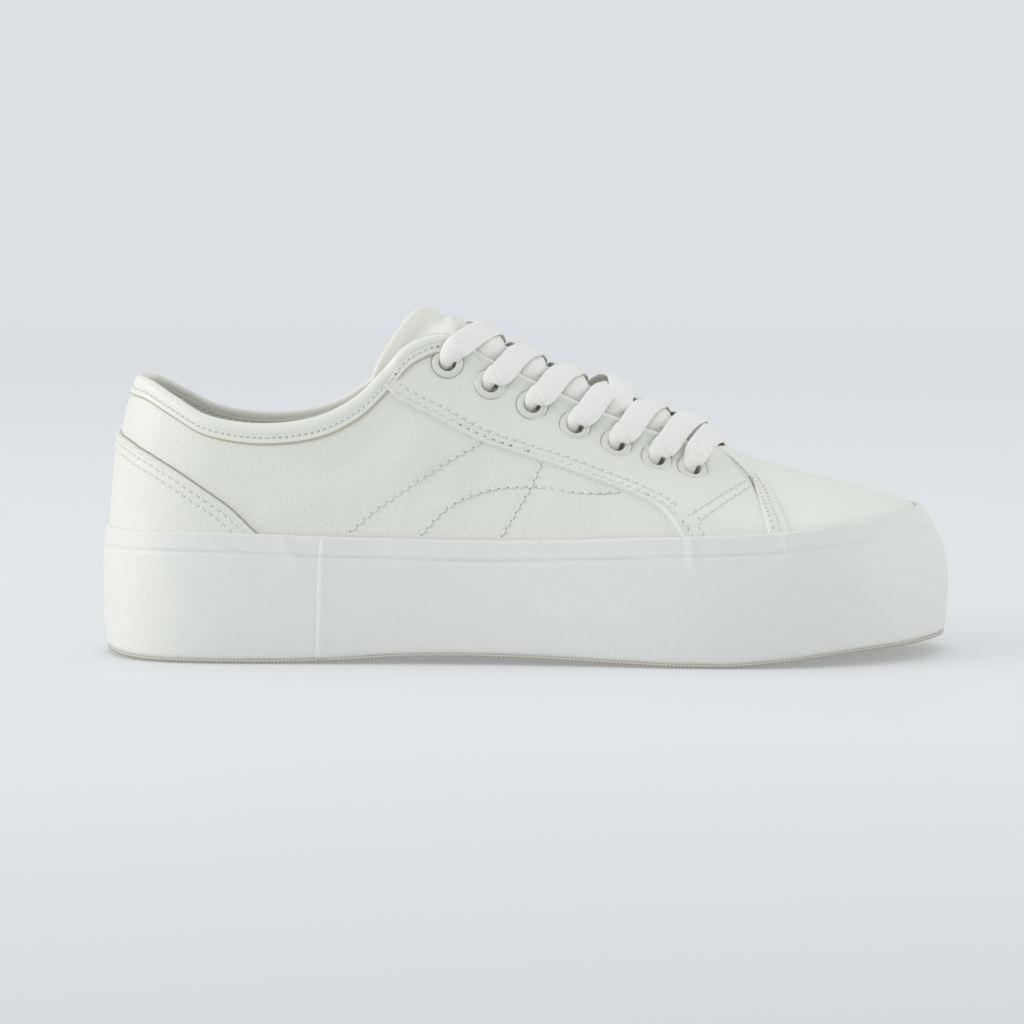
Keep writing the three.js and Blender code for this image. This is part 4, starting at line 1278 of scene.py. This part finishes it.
def strand(side, row, to_row, mid_lift=0.0, bar=False):
    """One strand: up through an eyelet, over its flap, across the tongue, and under the other flap (or,
    as the lowest bar, over it and down its eyelet). Rows of (position, normal, width, thickness, curl)."""
    station, distance = EYELETS[row]
    far_station, far_distance = EYELETS[to_row]
    hole_x = float(skin(station, below(station, distance))[0])
    far_x = float(skin(far_station, below(far_station, far_distance))[0])
    lean = BAR_LEAN if bar else 1.0

    def flap(d, out, x, mine=True):
        def at(s):
            here = np.array(s if (side > 0) == mine else ROUND - s)
            v = below(here, d)
            return off_skin(here, v, out), skin_normal(here, v)

        return at(station_for(lambda s: float(at(s)[0][0]), x, station if mine else far_station))

    def arch(part, out, x):
        share = part if side > 0 else 1 - part
        s = station_for(lambda t: float(bezier(tongue_section(t)[2], share)[0]), x, station + 0.5)
        points = tongue_section(s)[2]
        back = bezier(tongue_section(s - 0.2)[2], share) - bezier(tongue_section(s + 0.2)[2], share)
        sideways = bezier(points, share + 0.02) - bezier(points, share - 0.02)
        n = unit(np.cross(sideways, back))
        n = n if n[2] > 0 else -n
        return bezier(points, share) + n * out, n

    rows = [(*flap(share * distance + more, out, hole_x + shift * lean), *size)
            for share, more, out, shift, *size in RISE]
    rows += [(*arch(part, out + mid_lift * lift, hole_x + shift * lean), LACE_WIDTH, LACE_THICK, 0.12)
             for part, out, lift, shift in CROSSING]
    if bar:
        rows += [(*flap(share * far_distance + more, out, far_x + shift * lean, False), *size)
                 for share, more, out, shift, *size in RISE[::-1]]
    else:
        rows += [(*arch(0.89, 0.8, far_x - 1.0), LACE_WIDTH, 1.2, 0.1),
                 (*flap(1.6, -WALL - 0.62, far_x - 0.5, False), 8.0, 0.7, LEAST_CURL),
                 (*flap(5.5, -WALL - 0.55, far_x, False), 7.6, 0.6, LEAST_CURL)]
    return rows


def ribbon(rows, seed):
    """The strand's mesh, its section a flat band with round edges that curls by rows' last value."""
    at = refine(np.array([np.asarray(r[0], float) for r in rows]), LACE_STEPS)
    n = refine(np.array([np.asarray(r[1], float) for r in rows]), LACE_STEPS)
    size = refine(np.array([r[2:] for r in rows]), LACE_STEPS)
    way = unit(np.gradient(at, axis=0))
    n = unit(n - way * (n * way).sum(1, keepdims=True))
    side = np.cross(way, n)
    run = run_along(at)
    a = circle(LACE_SIDES)
    flat, full = rounded(np.cos(a), 0.55), rounded(np.sin(a), 0.75)
    width, thick, curl = size[:, :1] / 2, size[:, 1:2] / 2, np.maximum(size[:, 2:], LEAST_CURL)
    sag = 0.10 * np.sin(run * 0.55 + seed)[:, None]
    bend = curl * flat[None, :]
    x = width * np.sin(bend) / curl
    drop = width * (1 - np.cos(bend)) / curl
    h = thick * full[None, :] * (1 - 0.25 * np.abs(flat[None, :]) ** 3) - drop + sag * flat[None, :]
    points = at[:, None] + side[:, None] * x[..., None] + n[:, None] * h[..., None]
    weave = np.stack([np.repeat(run[:, None], LACE_SIDES, 1), flat[None, :] * width + 0 * run[:, None],
                      np.zeros((LACE_STEPS, LACE_SIDES))], -1).reshape(-1, 3)
    return tube(points), weave


LOOSE_FAR_ROW, LOOSE = 3, 3.4
plans = [dict(side=1, row=6, to_row=6, bar=True)]
for i in range(6):
    plans.append(dict(side=1, row=i, to_row=i + 1, mid_lift=1.1))
    plans.append(dict(side=-1, row=i, to_row=i + 1, mid_lift=LOOSE if i == LOOSE_FAR_ROW else 0.0))
made = [ribbon(strand(**plan), k) for k, plan in enumerate(plans)]
piece("lace_bands", [m[0] for m in made], COTTON, ["lace"], weave=[m[1] for m in made])

# ---- Floor, light and camera ----
FLOOR_FADE = (0.9, 2.6)


def floor_material():
    m = Shader("floor_glow_and_front_shade", (0.54, 0.55, 0.558), 0.55, Specular_IOR_Level=0.1)
    # Painted light: the floor glows a little, which lifts the shadows cast on it.
    m.shader.inputs["Emission Color"].default_value = (0.755, 0.775, 0.785, 1)
    m.shader.inputs["Emission Strength"].default_value = 0.30
    m.tint(m.between(m.noise(5, 3), 0.0, 0.2), (0.535, 0.546, 0.555))
    # Painted shade: the floor's colour darkens toward -Y, in front of the shoe.
    nearness = m.node("ShaderNodeSeparateXYZ", Vector=m.where).outputs["Y"]
    front = m.node("ShaderNodeMapRange", {"From Min": -0.2, "From Max": -0.7}, Value=nearness)
    m.tint(front.outputs["Result"], (0.44, 0.448, 0.454))
    m.bump(m.noise(240, 3), 0.02, 0.3)
    distance = m.node("ShaderNodeVectorMath", {"operation": "LENGTH"}).outputs["Value"]
    m.links.new(m.where, distance.node.inputs[0])
    fading = {"interpolation_type": "SMOOTHSTEP", "From Min": FLOOR_FADE[0], "From Max": FLOOR_FADE[1]}
    fade = m.node("ShaderNodeMapRange", fading, Value=distance)
    clear = m.nodes.new("ShaderNodeBsdfTransparent")
    mixed = m.nodes.new("ShaderNodeMixShader")
    m.links.new(fade.outputs["Result"], mixed.inputs[0])
    m.links.new(m.shader.outputs[0], mixed.inputs[1])
    m.links.new(clear.outputs[0], mixed.inputs[2])
    m.links.new(mixed.outputs[0], m.nodes["Material Output"].inputs[0])
    return m.made


def floor_disc():
    rings = np.array((0.0, 0.3, 0.9, 1.6, 2.6))
    a = circle(64)
    points = np.stack([np.outer(rings, np.cos(a)), np.outer(rings, np.sin(a)), np.zeros((5, 64))], -1)
    mesh = bpy.data.meshes.new("floor")
    flat, faces = grid(points.swapaxes(0, 1), closed=True, flip=True)
    mesh.from_pydata(flat.tolist(), [], [tuple(f) for f in faces.tolist()])
    made = placed("floor", mesh)
    made.location.z = -0.0002
    made.data.materials.append(floor_material())


floor_disc()
world = bpy.data.worlds.new("studio")
world.use_nodes = True
world.node_tree.nodes["Background"].inputs[0].default_value = (0.712, 0.742, 0.768, 1)
world.node_tree.nodes["Background"].inputs[1].default_value = 1.0
bpy.context.scene.world = world


def aim(made, place, target):
    made.location = place
    made.rotation_mode = "QUATERNION"
    made.rotation_quaternion = (Vector(target) - Vector(place)).to_track_quat("-Z", "Y")


# The soft lights: (name, place, target, size, power, colour).
WARM = (1.0, 0.995, 0.98)
LIGHTS = (
    ("key", (-1.9, -0.55, 0.8), (0.0, 0.0, 0.05), (1.4, 1.0), 19.0, WARM),
    ("right", (1.9, -0.35, 0.5), (0.0, 0.0, 0.05), (1.2, 1.0), 6.8, WARM),
    ("top", (0.2, 0.5, 2.0), (0.0, 0.0, 0.0), (1.8, 1.2), 4.0, (1.0, 1.0, 1.0)),
)
for name, place, target, size, power, color in LIGHTS:
    light = bpy.data.lights.new(name, "AREA")
    light.shape, light.size, light.size_y = "RECTANGLE", size[0], size[1]
    light.energy, light.color = power, color
    aim(placed(name, light), place, target)

PITCH = math.radians(5.2)
DISTANCE = 1.450
AIM = Vector((-0.00483, 0.0, 0.04614))
SENSOR, LENS = 36.0, 153.07
camera = placed("camera", bpy.data.cameras.new("camera"))
camera.data.sensor_width, camera.data.lens = SENSOR, LENS
camera.data.clip_start, camera.data.clip_end = 0.05, 50
aim(camera, AIM + Vector((0, -math.cos(PITCH), math.sin(PITCH))) * DISTANCE, AIM)
bpy.context.scene.camera = camera
bpy.context.scene.view_settings.view_transform = "Standard"
